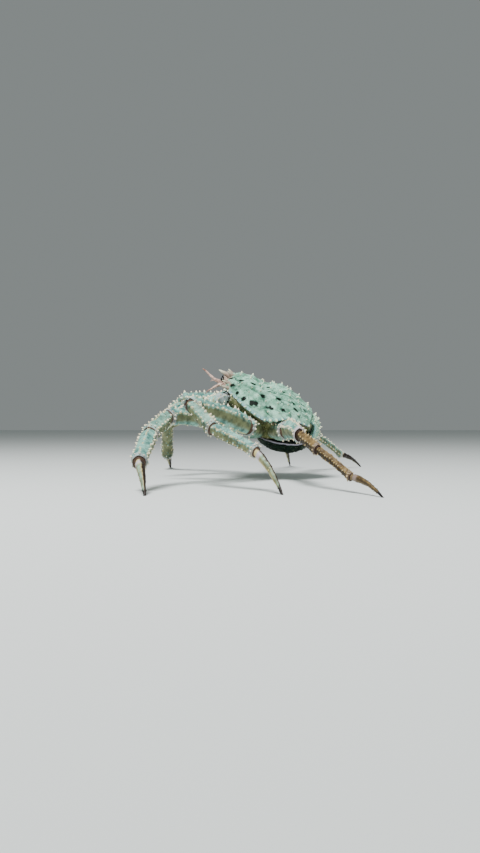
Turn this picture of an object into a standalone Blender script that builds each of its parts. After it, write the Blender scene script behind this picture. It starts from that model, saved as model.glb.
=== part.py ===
"""A red king crab as a still, life-size model, walking with its front raised. Metres, +Z up.

The head points along -X and the crab's left side is towards -Y. The body is drawn in its own frame,
x to the rear, y to the right and z up, and is then pitched and rolled as the crab carries it.
The limbs hang from named roots on the body, and each segment has a length and two angles.
"""

import math
import random

import bmesh
import bpy
from mathutils import Matrix, Vector

MM = 0.001
GAP = 0.3 * MM  # kept between pieces that touch

# Carriage of the body over the floor
BODY_HEIGHT = 115.5 * MM
BODY_PITCH = 18.0  # degrees, front up
BODY_ROLL = 12.0  # degrees, left side down

# Carapace, from the edge over the eyes to the hind edge
SHELL_FRONT = -62 * MM
SHELL_LENGTH = 130 * MM
SHELL_RIM = 3 * MM
SHELL_RINGS = 19
SHELL_COLUMNS = 16
# Each list runs from front (0) to rear (1): half width, level of the side edge, level of the crown
HALF_WIDTH = [(0, 20), (0.06, 31), (0.16, 48), (0.24, 60), (0.36, 71), (0.5, 76), (0.62, 76),
              (0.77, 69), (0.9, 58), (1, 44)]  # fmt: skip
EDGE_LEVEL = [(0, -2), (0.06, -3), (0.16, -6), (0.24, -9), (0.36, -13), (0.5, -17), (0.62, -13),
              (0.77, -6), (0.9, -9), (1, -12)]  # fmt: skip
CROWN_LEVEL = [(0, 16.5), (0.08, 18.5), (0.2, 19), (0.4, 18.5), (0.6, 18.5), (0.7, 16.5), (0.8, 12.5),
               (0.9, 7.5), (1, 1.5)]  # fmt: skip
# Swellings and grooves of the shell: place along, place across, spread along, spread across, height in mm
SHELL_REGIONS = [
    (0.20, 0.0, 0.10, 0.30, 3.0),
    (0.61, 0.0, 0.09, 0.16, 3.5),
    (0.60, 0.50, 0.16, 0.20, 3.5),
    (0.60, -0.50, 0.16, 0.20, 3.5),
    (0.41, 0.0, 0.05, 0.30, -2.5),
    (0.62, 0.27, 0.15, 0.06, -2.5),
    (0.62, -0.27, 0.15, 0.06, -2.5),
]
# Rows of shell spines: place across, count on each side, first and last place along, length in mm
SHELL_SPINE_ROWS = [
    (0.83, 8, 0.16, 0.92, 4.6),
    (0.64, 8, 0.22, 0.90, 5.2),
    (0.42, 7, 0.20, 0.92, 5.0),
    (0.17, 7, 0.12, 0.90, 5.4),
]
EDGE_SPINES, EDGE_SPINE_LENGTH = 13, 6.0  # on each side
SPINE_SIDES = 5
SPINE_SLIMNESS = 0.40  # base radius for each unit of length
SPINE_ROOT = 0.45  # share of a spine's length that is sunk in the shell

# Rostrum and the spines at the front edge: root x, y, z, then direction, length and base radius
ROSTRUM = [
    ((-56, 0, 13), (-1, 0, 0.14), 23, 5.6),
    ((-57, 6, 15.5), (-1, 0.35, 0.6), 11, 3.4),
    ((-57, -6, 15.5), (-1, -0.35, 0.6), 11, 3.4),
    ((-58, 15, 5.5), (-1, 0.3, 0.15), 12, 3.4),
    ((-58, -15, 5.5), (-1, -0.3, 0.15), 12, 3.4),
    ((-53, 25, 0), (-1, 0.35, 0.1), 15, 3.4),
    ((-53, -25, 0), (-1, -0.35, 0.1), 15, 3.4),
]

# Thorax, below the carapace
THORAX_FRONT, THORAX_REAR = 0.03, 0.93  # places along the shell
THORAX_WIDTH = [(0, 22), (0.08, 37), (0.2, 50), (0.45, 65), (0.65, 66), (0.85, 58), (1, 44)]  # half width
THORAX_DEPTH = [(0, -34), (0.2, -46), (0.45, -53), (0.7, -50), (1, -36)]  # level of the underside
# Side of the thorax from the shell down: share of the half width, share of the depth
THORAX_SIDE = [(1, 0), (0.97, 0.2), (0.82, 0.38), (0.7, 0.58), (0.58, 0.8), (0.42, 0.95), (0.2, 1.0)]
THORAX_RINGS = 13

# Abdomen: x, z, half width, half thickness and how far the margins curl inwards, first of the band
# behind the shell, then of the broad flap folded below the body
ABDOMEN = [(62, -9, 24, 4.5, 0), (70, -9, 26, 5, 0), (77, -12, 28, 5.4, 0), (80.5, -20, 29, 5.8, 1),
           (79.5, -31, 29, 6, 2), (75, -41, 28, 6, 4), (69, -49, 31, 6.5, 7), (60, -56, 34, 7.2, 10),
           (46, -61, 36, 7.6, 12), (30, -62.5, 35, 7.2, 11), (17, -61, 30, 6, 8), (9, -59, 20, 4, 4),
           (5.5, -58, 9, 2, 1)]  # fmt: skip
ABDOMEN_SPLIT = 5  # the station where the flap begins

# Walking legs, front to rear: hip and root on the body frame for the right side, radii and lengths of
# merus, carpus, propodus and dactylus
LEG_HIPS = {1: (-30, 30, -38), 2: (0, 36, -42), 3: (22, 36, -34)}
LEG_ROOTS = {1: (-44, 70, -40), 2: (-15, 82, -32), 3: (38, 84, -20)}
LEG_RADII = {1: (11.5, 10.2, 10.2, 5.5), 2: (12.6, 9.4, 8.2, 5.2), 3: (11.0, 6.7, 5.2, 3.9)}
LEG_LENGTHS = {1: (110, 54, 80, 76), 2: (114, 56, 84, 80), 3: (104, 50, 76, 74)}
# Each leg's turn (degrees from +X towards +Y) and rise for merus, carpus and propodus, then the last turn
LEG_POSES = {
    ("left", 1): ((-132, 5), (-113, -23), (-95, -24), -79),
    ("left", 2): ((-131, 14), (-54, -31), (-48, -18.5), -64),
    ("left", 3): ((-84, -2), (-66, -20), (-61, -23), -68),
    ("right", 1): ((135, 5), (133, -32), (94, -50), 90),
    ("right", 2): ((81, 14), (67, -35), (72, -41), 76),
    ("right", 3): ((74, -8), (46, -39), (51, -25), 54),
}
# Segment outlines: place along, share of the segment's radius. Each starts as a neck and ends in a cuff
MERUS = [(0, 0.72), (0.06, 0.94), (0.16, 1.06), (0.45, 0.98), (0.75, 0.86), (0.93, 0.9), (1, 0.8)]
CARPUS = [(0, 0.66), (0.14, 0.88), (0.38, 1.0), (0.7, 1.02), (0.9, 1.1), (1, 0.96)]
PROPODUS = [(0, 0.7), (0.1, 0.92), (0.3, 1.0), (0.6, 0.92), (0.84, 0.94), (0.95, 1.04), (1, 0.9)]
DACTYLUS = [(0, 0.75), (0.08, 1.0), (0.22, 1.04), (0.5, 0.82), (0.78, 0.55), (1, 0.3)]
HIP = [(0, 0.85), (0.45, 1.0), (0.66, 1.04), (0.8, 0.92), (0.92, 0.95), (1, 0.84)]
HIP_RADIUS = 13.5
LIMB_THINNESS = {1: 0.9, 2: 0.74, 3: 0.74}  # width of each leg against its height
MERUS_BOW, PROPODUS_BOW, DACTYLUS_BOW = 0.03, 0.015, 0.06  # rise of the curved middle against length
BEND_ZONE = 20 * MM  # over which rings turn to lie on a joint's plane
# Rows of limb spines: angle round the limb from its side, count, first and last place, length in mm
MERUS_SPINES = [(90, 6, 0.16, 0.93, 5.4), (140, 4, 0.24, 0.88, 4.2), (42, 4, 0.24, 0.88, 4.2)]
CARPUS_SPINES = [(88, 3, 0.25, 0.86, 5.6), (140, 3, 0.28, 0.84, 4.4), (40, 3, 0.28, 0.84, 4.4)]
PROPODUS_SPINES = [(90, 5, 0.18, 0.9, 4.2), (150, 4, 0.22, 0.9, 3.6), (30, 4, 0.22, 0.9, 3.6)]

# Claws: the right one is the larger crusher. Lengths of merus, carpus, palm and fingers, then poses
CLAW_HIP, CLAW_ROOT = (-46, 18, -34), (-63, 30, -28)
CLAW_SIZE = {"left": 0.86, "right": 1.0}
CLAW_LENGTHS = {"left": (35, 25, 46, 31), "right": (43, 28, 50, 36)}
CLAW_POSES = {
    "left": ((-74, 17), (-155, -26), (163, -20)),
    "right": ((124, -20), (-178, 5), (-124, -22)),
}
CLAW_MERUS = [(0, 0.72), (0.1, 0.94), (0.35, 1.02), (0.6, 1.04), (0.85, 1.16), (1, 1.12)]
PALM = [(0, 0.42), (0.12, 0.7), (0.35, 0.96), (0.65, 1.04), (0.88, 0.94), (1, 0.74)]
CLAW_HIP_RADIUS = 10.0
CLAW_RADII = (10.0, 10.4, 14.5)  # merus, carpus, palm
CLAW_SPINES = [(88, 3, 0.3, 0.88, 5.8), (135, 3, 0.3, 0.85, 4.6), (35, 2, 0.35, 0.8, 4.6)]
PALM_SPINES = [(90, 4, 0.25, 0.85, 5.0), (140, 3, 0.3, 0.8, 4.2), (40, 3, 0.3, 0.8, 4.2)]
# Fingers: place along, height over the palm's axis and radius, both in palm radii
FIXED_FINGER = [(-0.3, -0.36, 0.36), (0.12, -0.42, 0.34), (0.5, -0.46, 0.27), (0.82, -0.36, 0.16), (1, -0.2, 0.05)]
MOVING_FINGER = [(0, 0.36, 0.3), (0.2, 0.44, 0.31), (0.55, 0.42, 0.25), (0.85, 0.22, 0.15), (1.02, 0.02, 0.05)]

EYE_ROOT, EYE_REACH, STALK_RADIUS = (-62.3, 8, 7.5), 7.5 * MM, 2.3 * MM
# Paths of the right feelers on the body frame, then radii along them: a thick stretch and a whip
ANTENNA = {
    "left": [(-62.3, -11, -1), (-69, -13, 0), (-75, -17, -4), (-80, -22, -9), (-83, -30, -10.5), (-84, -40, -11),
             (-84, -51, -11), (-83, -62, -10)],
    "right": [(-62.3, 11, -1), (-74, 14, -2), (-86, 17, 1.5), (-97, 20.5, 6.5), (-101, 28, 6.5), (-103, 39, 5),
              (-103.5, 51, 2.5), (-102, 63, -1)],
}  # fmt: skip
ANTENNA_RADII = (2.4, 2.3, 1.9, 1.5, 0.8, 0.65, 0.5, 0.3)
ANTENNULE = [(-62.3, 2.9, 0.5), (-68, 3.6, 1.5), (-74, 4.4, 2.6), (-80, 5.6, 1.8), (-85, 7.0, -1)]
ANTENNULE_RADII = (1.3, 1.2, 1.0, 0.6, 0.3)
MOUTH_LEG = [(-48, 9, -30), (-63, 9, -30), (-73, 8, -38), (-72, 6, -49)]
MOUTH_LEG_RADIUS = 4.2

BODY = (
    Matrix.Translation((0, 0, BODY_HEIGHT))
    @ Matrix.Rotation(math.radians(BODY_PITCH), 4, "Y")
    @ Matrix.Rotation(math.radians(BODY_ROLL), 4, "X")
)
FLOOR = Vector((0, 0, 0))
UP = Vector((0, 0, 1))
SIDES = {"left": -1, "right": 1}
draw = random.Random(11)

# Colours as linear red, green, blue, with roughness
FINISHES = {
    "shell": ((0.32, 0.50, 0.42), 0.55),
    "limb": ((0.30, 0.52, 0.48), 0.5),
    "hind_limb": ((0.34, 0.25, 0.14), 0.5),
    "underside": ((0.36, 0.36, 0.20), 0.6),
    "flap": ((0.06, 0.09, 0.07), 0.6),
    "feeler": ((0.62, 0.42, 0.36), 0.5),
    "eye": ((0.02, 0.02, 0.02), 0.2),
}


def finish(name):
    """The material of that name, made when it is first asked for."""
    material = bpy.data.materials.get(name) or bpy.data.materials.new(name)
    colour, roughness = FINISHES[name]
    material.use_nodes = True
    shader = material.node_tree.nodes["Principled BSDF"]
    shader.inputs["Base Color"].default_value = (*colour, 1)
    shader.inputs["Roughness"].default_value = roughness
    return material


def through(stations, place):
    """The value at a place on a smooth curve through (place, value) stations."""
    index = max(0, min(len(stations) - 2, sum(place > s for s, _ in stations) - 1))
    (s0, v0), (s1, v1) = stations[index], stations[index + 1]
    before = stations[max(index - 1, 0)]
    after = stations[min(index + 2, len(stations) - 1)]
    slope0 = (v1 - before[1]) / (s1 - before[0])
    slope1 = (after[1] - v0) / (after[0] - s0)
    span = s1 - s0
    t = (place - s0) / span
    return (
        v0 * (2 * t**3 - 3 * t**2 + 1)
        + v1 * (3 * t**2 - 2 * t**3)
        + span * slope0 * (t**3 - 2 * t**2 + t)
        + span * slope1 * (t**3 - t**2)
    )


def on_body(x, y, z):
    """A point of the body's frame, given in mm, in the world."""
    return BODY @ (Vector((x, y, z)) * MM)


def mesh_object(name, points, faces, material):
    """An object with outward faces and smooth shading."""
    mesh = bpy.data.meshes.new(name)
    mesh.from_pydata([tuple(p) for p in points], [], faces)
    grown = bmesh.new()
    grown.from_mesh(mesh)
    bmesh.ops.recalc_face_normals(grown, faces=grown.faces)
    if grown.calc_volume(signed=True) < 0:
        bmesh.ops.reverse_faces(grown, faces=grown.faces)
    bmesh.ops.triangulate(grown, faces=grown.faces)
    grown.to_mesh(mesh)
    grown.free()
    mesh.materials.append(finish(material))
    made = bpy.data.objects.new(name, mesh)
    bpy.context.scene.collection.objects.link(made)
    return made


def loft(name, rings, material):
    """A closed solid through rings that have the same number of points, with flat ends."""
    count = len(rings[0])
    points = [p for ring in rings for p in ring]
    faces = [
        (i * count + j, i * count + (j + 1) % count, (i + 1) * count + (j + 1) % count, (i + 1) * count + j)
        for i in range(len(rings) - 1)
        for j in range(count)
    ]
    faces.append(tuple(range(count)))
    faces.append(tuple(range(len(points) - count, len(points))))
    return mesh_object(name, points, faces, material)


def applied(body):
    """Replaces the object's mesh by what its modifiers make of it."""
    graph = bpy.context.evaluated_depsgraph_get()
    made = bpy.data.meshes.new_from_object(body.evaluated_get(graph))
    body.modifiers.clear()
    old, body.data = body.data, made
    bpy.data.meshes.remove(old)


def keep_largest(body):
    """Drops every closed surface of the object but the largest."""
    whole = bmesh.new()
    whole.from_mesh(body.data)
    left, islands = set(whole.verts), []
    while left:
        island, front = set(), [left.pop()]
        while front:
            vertex = front.pop()
            island.add(vertex)
            for edge in vertex.link_edges:
                other = edge.other_vert(vertex)
                if other in left:
                    left.discard(other)
                    front.append(other)
        islands.append(island)
    for island in sorted(islands, key=len)[:-1]:
        bmesh.ops.delete(whole, geom=list(island), context="VERTS")
    whole.to_mesh(body.data)
    whole.free()


def remove(made):
    mesh = made.data
    bpy.data.objects.remove(made)
    bpy.data.meshes.remove(mesh)


def fuse(body, pieces):
    """Joins closed pieces to the body in one union."""
    group = bpy.data.collections.new("to_fuse")
    bpy.context.scene.collection.children.link(group)
    for piece in pieces:
        group.objects.link(piece)
    union = body.modifiers.new("fuse", "BOOLEAN")
    union.operation = "UNION"
    union.operand_type = "COLLECTION"
    union.collection = group
    union.solver = "MANIFOLD"
    applied(body)
    for piece in pieces:
        remove(piece)
    bpy.data.collections.remove(group)
    keep_largest(body)


def cut_clear(body, neighbour):
    """Cuts the body where the neighbour is, and leaves the gap between them."""
    cutter = neighbour.copy()
    cutter.data = neighbour.data.copy()
    bpy.context.scene.collection.objects.link(cutter)
    normals = [v.normal.copy() for v in cutter.data.vertices]
    for vertex, normal in zip(cutter.data.vertices, normals):
        vertex.co += normal * GAP * 1.2
    cut = body.modifiers.new("cut", "BOOLEAN")
    cut.operation = "DIFFERENCE"
    cut.object = cutter
    cut.solver = "MANIFOLD"
    applied(body)
    remove(cutter)
    keep_largest(body)


def spine(root, direction, length, radius):
    """A cone whose root is sunk behind its base point."""
    direction = Vector(direction).normalized()
    side = direction.orthogonal().normalized()
    other = direction.cross(side)
    foot = root - direction * length * SPINE_ROOT
    spread = radius * (1 + SPINE_ROOT)
    ring = [
        foot + (side * math.cos(a) + other * math.sin(a)) * spread
        for a in (2 * math.pi * i / SPINE_SIDES for i in range(SPINE_SIDES))
    ]
    tip = root + direction * length
    faces = [(i, (i + 1) % SPINE_SIDES, SPINE_SIDES) for i in range(SPINE_SIDES)]
    faces.append(tuple(reversed(range(SPINE_SIDES))))
    return mesh_object("spine", [*ring, tip], faces, "shell")


def shell_point(place, across):
    """A point of the carapace's upper face, in the body's frame in mm. across runs from -1 to 1."""
    edge = through(EDGE_LEVEL, place)
    rise = through(CROWN_LEVEL, place) - edge
    dome = (1 - min(abs(across), 1) ** 2.2) ** 0.62
    level = edge + rise * dome
    for along, aside, spread_along, spread_across, height in SHELL_REGIONS:
        far = ((place - along) / spread_along) ** 2 + ((across - aside) / spread_across) ** 2
        level += height * math.exp(-far / 2) * min(1, 3 * dome)
    x = SHELL_FRONT / MM + SHELL_LENGTH / MM * place
    return Vector((x, through(HALF_WIDTH, place) * across, level))


def shell_normal(place, across):
    """The outward direction of the carapace there, in the body's frame."""
    step = 0.02
    a, b = max(place - step, 0), min(place + step, 1)
    c, d = max(across - step, -0.98), min(across + step, 0.98)
    along = shell_point(b, across) - shell_point(a, across)
    aside = shell_point(place, d) - shell_point(place, c)
    return along.cross(aside).normalized()


def body_spine(root, direction, length, radius):
    """A spine given in the body's frame, in mm."""
    return spine(on_body(*root), BODY.to_3x3() @ Vector(direction), length * MM, radius * MM)


def edge_spines():
    """Spines that point out along the side edges of the shell."""
    made = []
    for side in SIDES.values():
        for i in range(EDGE_SPINES):
            place = 0.07 + 0.89 * i / (EDGE_SPINES - 1)
            x, y, z = shell_point(place, side)
            ahead, behind = shell_point(place + 0.02, side), shell_point(place - 0.02, side)
            along = ahead - behind
            out = Vector((along.y, -along.x, 0)).normalized() * -side
            size = EDGE_SPINE_LENGTH * draw.uniform(0.8, 1.2)
            root = Vector((x, y, z + 1)) - out * 1.5
            made.append(body_spine(root, out + Vector((0, 0, 0.12)), size, 2.1))
    return made


def shell_spines():
    """The spines of the carapace's upper face, in rows that run along it, and those of its edges."""
    made = edge_spines()
    for across, count, first, last, length in SHELL_SPINE_ROWS:
        for side in SIDES.values():
            for i in range(count):
                place = first + (last - first) * i / (count - 1) + draw.uniform(-0.012, 0.012)
                aside = side * (across + draw.uniform(-0.03, 0.03))
                size = length * draw.uniform(0.8, 1.15)
                lean = shell_normal(place, aside) + Vector((-0.15, side * 0.2, 0))
                made.append(body_spine(shell_point(place, aside), lean, size, size * SPINE_SLIMNESS))
    for values in ROSTRUM:
        made.append(body_spine(*values))
    return made


def carapace():
    """The domed shield, with its rostrum and spines."""
    rings = []
    for i in range(SHELL_RINGS + 1):
        place = i / SHELL_RINGS
        lower = through(EDGE_LEVEL, place) - SHELL_RIM / MM
        ring = [
            shell_point(place, math.sin(math.pi * (j / SHELL_COLUMNS - 0.5)))
            for j in range(SHELL_COLUMNS + 1)
        ]
        for share in (0.96, 0.5, -0.5, -0.96):
            ring.append(Vector((ring[0].x, through(HALF_WIDTH, place) * share, lower)))
        rings.append([on_body(*p) for p in ring])
    shield = loft("carapace", rings, "shell")
    fuse(shield, shell_spines())
    return shield


def thorax():
    """The underbody, from the shell's lower face down to the leg roots and the breastplate."""
    rings = []
    for i in range(THORAX_RINGS + 1):
        share = i / THORAX_RINGS
        place = THORAX_FRONT + (THORAX_REAR - THORAX_FRONT) * share
        top = through(EDGE_LEVEL, place) - (SHELL_RIM + GAP) / MM
        depth = through(THORAX_DEPTH, place) - top
        width = through(THORAX_WIDTH, place)
        x = (SHELL_FRONT + SHELL_LENGTH * place) / MM
        half = [(width * a, top + depth * d) for a, d in THORAX_SIDE]
        ring = [(-y, z) for y, z in half] + [(0, top + depth * 1.03)] + list(reversed(half))
        rings.append([on_body(x, y, z) for y, z in ring])
    return loft("thorax", rings, "underside")


def plate(name, first, last, material):
    """The stretch of the abdomen between two of its stations, as an oval plate."""
    rings = []
    for i in range(first, last + 1):
        x, z, width, thickness, curl = ABDOMEN[i]
        before, after = ABDOMEN[max(i - 1, 0)], ABDOMEN[min(i + 1, len(ABDOMEN) - 1)]
        along = Vector((after[0] - before[0], 0, after[1] - before[1])).normalized()
        across = Vector((-along.z, 0, along.x))
        middle = Vector((x, 0, z))
        if i == ABDOMEN_SPLIT:
            middle += along * GAP / MM * (0.55 if i == first else -0.55)
        angles = [2 * math.pi * j / 12 for j in range(12)]
        ring = [
            middle
            + Vector((0, width * math.cos(a), 0))
            + across * (thickness * math.sin(a) - curl * math.cos(a) ** 2)
            for a in angles
        ]
        rings.append([on_body(*p) for p in ring])
    return loft(name, rings, material)


def abdomen(shield, body):
    """The band of tail segments behind the shell, with spines, and the flap folded under the body."""
    band = plate("abdomen_band", 0, ABDOMEN_SPLIT, "shell")
    spines = []
    for x, z, width, thickness, _ in ABDOMEN[2:5]:
        for share in (-0.75, -0.3, 0.3, 0.75):
            reach = thickness * math.sqrt(1 - share**2) * 0.8
            out = (1, share * 0.6, (z + 24) / 26)
            spines.append(body_spine((x + reach, width * share, z), out, 4.5, 1.9))
    fuse(band, spines)
    cut_clear(band, shield)
    cut_clear(band, body)
    flap = plate("abdomen_flap", ABDOMEN_SPLIT, len(ABDOMEN) - 1, "flap")
    cut_clear(flap, body)


def aim(turn, rise):
    """The unit direction of a turn from +X towards +Y and a rise, both in degrees."""
    t, r = math.radians(turn), math.radians(rise)
    return Vector((math.cos(t) * math.cos(r), math.sin(t) * math.cos(r), math.sin(r)))


class Segment:
    """A length of limb from start to end, with a bowed middle and an oval section. Radius in mm."""

    def __init__(self, start, end, outline, radius, bow=0.0, thinness=0.74, sides=10):
        self.start, self.end = start, end
        self.outline, self.radius, self.thinness, self.sides = outline, radius * MM, thinness, sides
        self.length = (end - start).length
        self.axis = (end - start).normalized()
        self.side = self.axis.cross(UP).normalized()
        self.top = self.side.cross(self.axis)
        self.bow = bow * self.length

    def centre(self, t):
        return self.start + (self.end - self.start) * t + self.top * self.bow * 4 * t * (1 - t)

    def along(self, t):
        return (self.axis * self.length + self.top * self.bow * 4 * (1 - 2 * t)).normalized()

    def outward(self, t, angle):
        """The radius vector of the section at a place, towards an angle in degrees from the side."""
        top = self.side.cross(self.along(t))
        a = math.radians(angle)
        reach = through(self.outline, t) * self.radius
        return (self.side * math.cos(a) * self.thinness + top * math.sin(a)) * reach

    def rings(self, start_plane, end_plane):
        """The rings of the solid. Those near an end turn to lie on that end's (point, normal) plane."""
        made = []
        for t, _ in self.outline:
            ring = [self.centre(t) + self.outward(t, 360 * j / self.sides) for j in range(self.sides)]
            along = self.along(t)
            for (point, normal), distance in ((start_plane, t), (end_plane, 1 - t)):
                share = max(0.0, 1 - distance * self.length / BEND_ZONE)
                middle = (point - self.centre(t)).dot(normal) if distance else 0.0
                offset = [((point - p).dot(normal) - middle) / along.dot(normal) for p in ring]
                ring = [p + along * o * share for p, o in zip(ring, offset)]
            made.append(ring)
        return made

    def spines(self, rows):
        """Spines in rows along the limb, leaning towards its end."""
        made = []
        for angle, count, first, last, length in rows:
            for i in range(count):
                t = first + (last - first) * i / (count - 1) + draw.uniform(-0.01, 0.01)
                out = self.outward(t, angle + draw.uniform(-8, 8))
                size = length * draw.uniform(0.85, 1.15)
                lean = out.normalized() + self.axis * 0.3
                root = self.centre(t) + out * 0.97
                made.append(spine(root, lean, size * MM, size * SPINE_SLIMNESS * MM))
        return made


def joint_plane(point, before, after, side):
    """The plane between two segments, moved by half a gap to one side (-1 before, 1 after)."""
    normal = (before + after).normalized()
    return point + normal * GAP * 0.55 * side, normal


def limb(prefix, names, segments, rows, materials, ground=False):
    """Builds each segment of a limb as a node, cut on the planes of its joints."""
    nodes = []
    for i, (name, segment, material) in enumerate(zip(names, segments, materials)):
        start = (segment.start, segment.axis)
        if i > 0:
            start = joint_plane(segment.start, segments[i - 1].along(1), segment.along(0), 1)
        end = (FLOOR, UP) if ground else (segment.end, segment.along(1))
        if i + 1 < len(segments):
            end = joint_plane(segment.end, segment.along(1), segments[i + 1].along(0), -1)
        node = loft(prefix + name, segment.rings(start, end), material)
        if rows[i]:
            fuse(node, segment.spines(rows[i]))
        nodes.append(node)
    return nodes


def chain(hip, root, poses, lengths, side):
    """The joints of a limb, from its hip in the body through each (turn, rise) and length in mm."""
    joints = [mirrored(hip, side), mirrored(root, side)]
    for (turn, rise), length in zip(poses, lengths):
        joints.append(joints[-1] + aim(turn, rise) * length * MM)
    return joints


def mirrored(point, side):
    """A point of the body's right half on the given side, in the world."""
    return on_body(point[0], point[1] * SIDES[side], point[2])


def walking_leg(side, number, body, shield):
    """A walking leg: hip, merus, carpus, propodus and dactylus, down to its flat on the floor."""
    poses, lengths = LEG_POSES[side, number], LEG_LENGTHS[number]
    joints = chain(LEG_HIPS[number], LEG_ROOTS[number], poses[:3], lengths, side)
    drop = -math.degrees(math.asin(joints[-1].z / (lengths[3] * MM)))
    joints.append(joints[-1] + aim(poses[3], drop) * lengths[3] * MM)
    outlines = (HIP, MERUS, CARPUS, PROPODUS, DACTYLUS)
    radii = (HIP_RADIUS, *LEG_RADII[number])
    bows = (0, MERUS_BOW, 0, PROPODUS_BOW, DACTYLUS_BOW)
    thin = LIMB_THINNESS[number]
    shapes = ((0.95, 10), (thin, 10), (thin, 10), (thin, 10), (thin, 8))
    segments = [
        Segment(a, b, outline, radius, bow, *shape)
        for a, b, outline, radius, bow, shape in zip(joints, joints[1:], outlines, radii, bows, shapes)
    ]
    names = ("hip", "merus", "carpus", "propodus", "dactylus")
    rows = ([], MERUS_SPINES, CARPUS_SPINES, PROPODUS_SPINES, [])
    outer = "hind_limb" if (side, number) == ("left", 3) else "limb"
    nodes = limb(f"{side}_leg{number}_", names, segments, rows, ["limb"] * 2 + [outer] * 3, ground=True)
    cut_clear(nodes[0], body)
    cut_clear(nodes[0], shield)


def horn(name, points, radii, face, across, material, thinness=1.0, sides=8):
    """A curved tapering solid through points. Its first ring lies square to the face direction."""
    rings = []
    for i, (point, radius) in enumerate(zip(points, radii)):
        step = points[min(i + 1, len(points) - 1)] - points[max(i - 1, 0)]
        along = face if i == 0 else step.normalized()
        aside = (across - along * across.dot(along)).normalized()
        top = aside.cross(along)
        angles = [2 * math.pi * j / sides for j in range(sides)]
        rings.append([point + (aside * math.cos(a) * thinness + top * math.sin(a)) * radius for a in angles])
    return loft(name, rings, material)


def finger(name, palm, length, outline, lift):
    """A finger of a claw, from its outline in the palm's own directions."""
    axis = palm.along(1)
    top = palm.side.cross(axis)
    points = [
        palm.end + axis * (place * length + lift if place > 0 else place * palm.radius + lift)
        + top * height * palm.radius
        for place, height, _ in outline
    ]
    radii = [palm.radius * radius for _, _, radius in outline]
    return horn(name, points, radii, axis, palm.side, "limb", 0.8)


def claw(side, body):
    """A claw limb: hip, merus, carpus, palm with its fixed finger, and the moving finger."""
    size, lengths = CLAW_SIZE[side], CLAW_LENGTHS[side]
    joints = chain(CLAW_HIP, CLAW_ROOT, CLAW_POSES[side], lengths, side)
    merus, carpus, palm = (radius * size for radius in CLAW_RADII)
    segments = [
        Segment(joints[0], joints[1], HIP, CLAW_HIP_RADIUS, thinness=0.95),
        Segment(joints[1], joints[2], CLAW_MERUS, merus),
        Segment(joints[2], joints[3], CARPUS, carpus, thinness=0.9),
        Segment(joints[3], joints[4], PALM, palm, thinness=0.62, sides=12),
    ]
    rows = ([], CLAW_SPINES, CLAW_SPINES, PALM_SPINES)
    nodes = limb(f"{side}_claw_", ("hip", "merus", "carpus", "palm"), segments, rows, ["limb"] * 4)
    cut_clear(nodes[0], body)
    fixed = finger("fixed_finger", segments[3], lengths[3] * MM, FIXED_FINGER, 0)
    fuse(nodes[3], [fixed])
    finger(f"{side}_claw_finger", segments[3], lengths[3] * MM, MOVING_FINGER, GAP)


def body_directions():
    """Straight ahead and across to the right on the body, in the world."""
    turn = BODY.to_3x3()
    return turn @ Vector((-1, 0, 0)), turn @ Vector((0, 1, 0))


def eye(side):
    """An eye on its short stalk, which stands on the shell's front face."""
    ahead, across = body_directions()
    root = mirrored(EYE_ROOT, side)
    forward = (ahead + across * 0.3 * SIDES[side]).normalized()
    profile = ((0, 0.8), (0.3, 0.75), (0.55, 0.9), (0.75, 1.35), (1.0, 1.4), (1.2, 1.0), (1.32, 0.4))
    points = [root + forward * EYE_REACH * reach for reach, _ in profile]
    radii = [STALK_RADIUS * share for _, share in profile]
    horn(f"{side}_eye", points, radii, ahead, across, "eye", sides=10)


def feelers(side):
    """The antenna and the small antennule of one side, each thinning to its tip."""
    ahead, across = body_directions()
    antenna = [on_body(*p) for p in ANTENNA[side]]
    horn(f"{side}_antenna", antenna, [r * MM for r in ANTENNA_RADII], ahead, across, "feeler", sides=6)
    antennule = [mirrored(p, side) for p in ANTENNULE]
    horn(f"{side}_antennule", antennule, [r * MM for r in ANTENNULE_RADII], ahead, across, "feeler", sides=6)


def mouth_leg(side, body):
    """The outer mouth limb, bent down in front of the mouth."""
    ahead, across = body_directions()
    points = [mirrored(p, side) for p in MOUTH_LEG]
    radii = [MOUTH_LEG_RADIUS * share * MM for share in (1, 1.05, 0.95, 0.45)]
    made = horn(f"{side}_mouth_leg", points, radii, ahead, across, "underside", 0.9)
    cut_clear(made, body)


def centre_on_floor():
    """Moves the whole crab so that the bottom centre of its box is the origin."""
    corners = [v.co for o in bpy.data.objects for v in o.data.vertices]
    low = [min(p[i] for p in corners) for i in range(3)]
    high = [max(p[i] for p in corners) for i in range(3)]
    shift = Vector((-(low[0] + high[0]) / 2, -(low[1] + high[1]) / 2, -low[2]))
    for made in bpy.data.objects:
        made.data.transform(Matrix.Translation(shift))


def main():
    for old in list(bpy.data.objects):
        bpy.data.objects.remove(old)
    shield = carapace()
    body = thorax()
    cut_clear(body, shield)
    abdomen(shield, body)
    for side in SIDES:
        for number in LEG_ROOTS:
            walking_leg(side, number, body, shield)
        claw(side, body)
        eye(side)
        mouth_leg(side, body)
        feelers(side)
    centre_on_floor()
    for made in bpy.data.objects:
        made.data.shade_smooth()
        made.data.set_sharp_from_angle(angle=math.radians(40))


main()
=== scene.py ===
"""The looks of the red king crab: its plates, limbs, spines, head and finishes, and a plain studio.

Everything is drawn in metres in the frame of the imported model. The head points along -X, the crab's
left side is towards -Y and +Z is up. Lengths in tables are in mm, and angles are in degrees.
"""

import math
from collections import namedtuple

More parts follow.
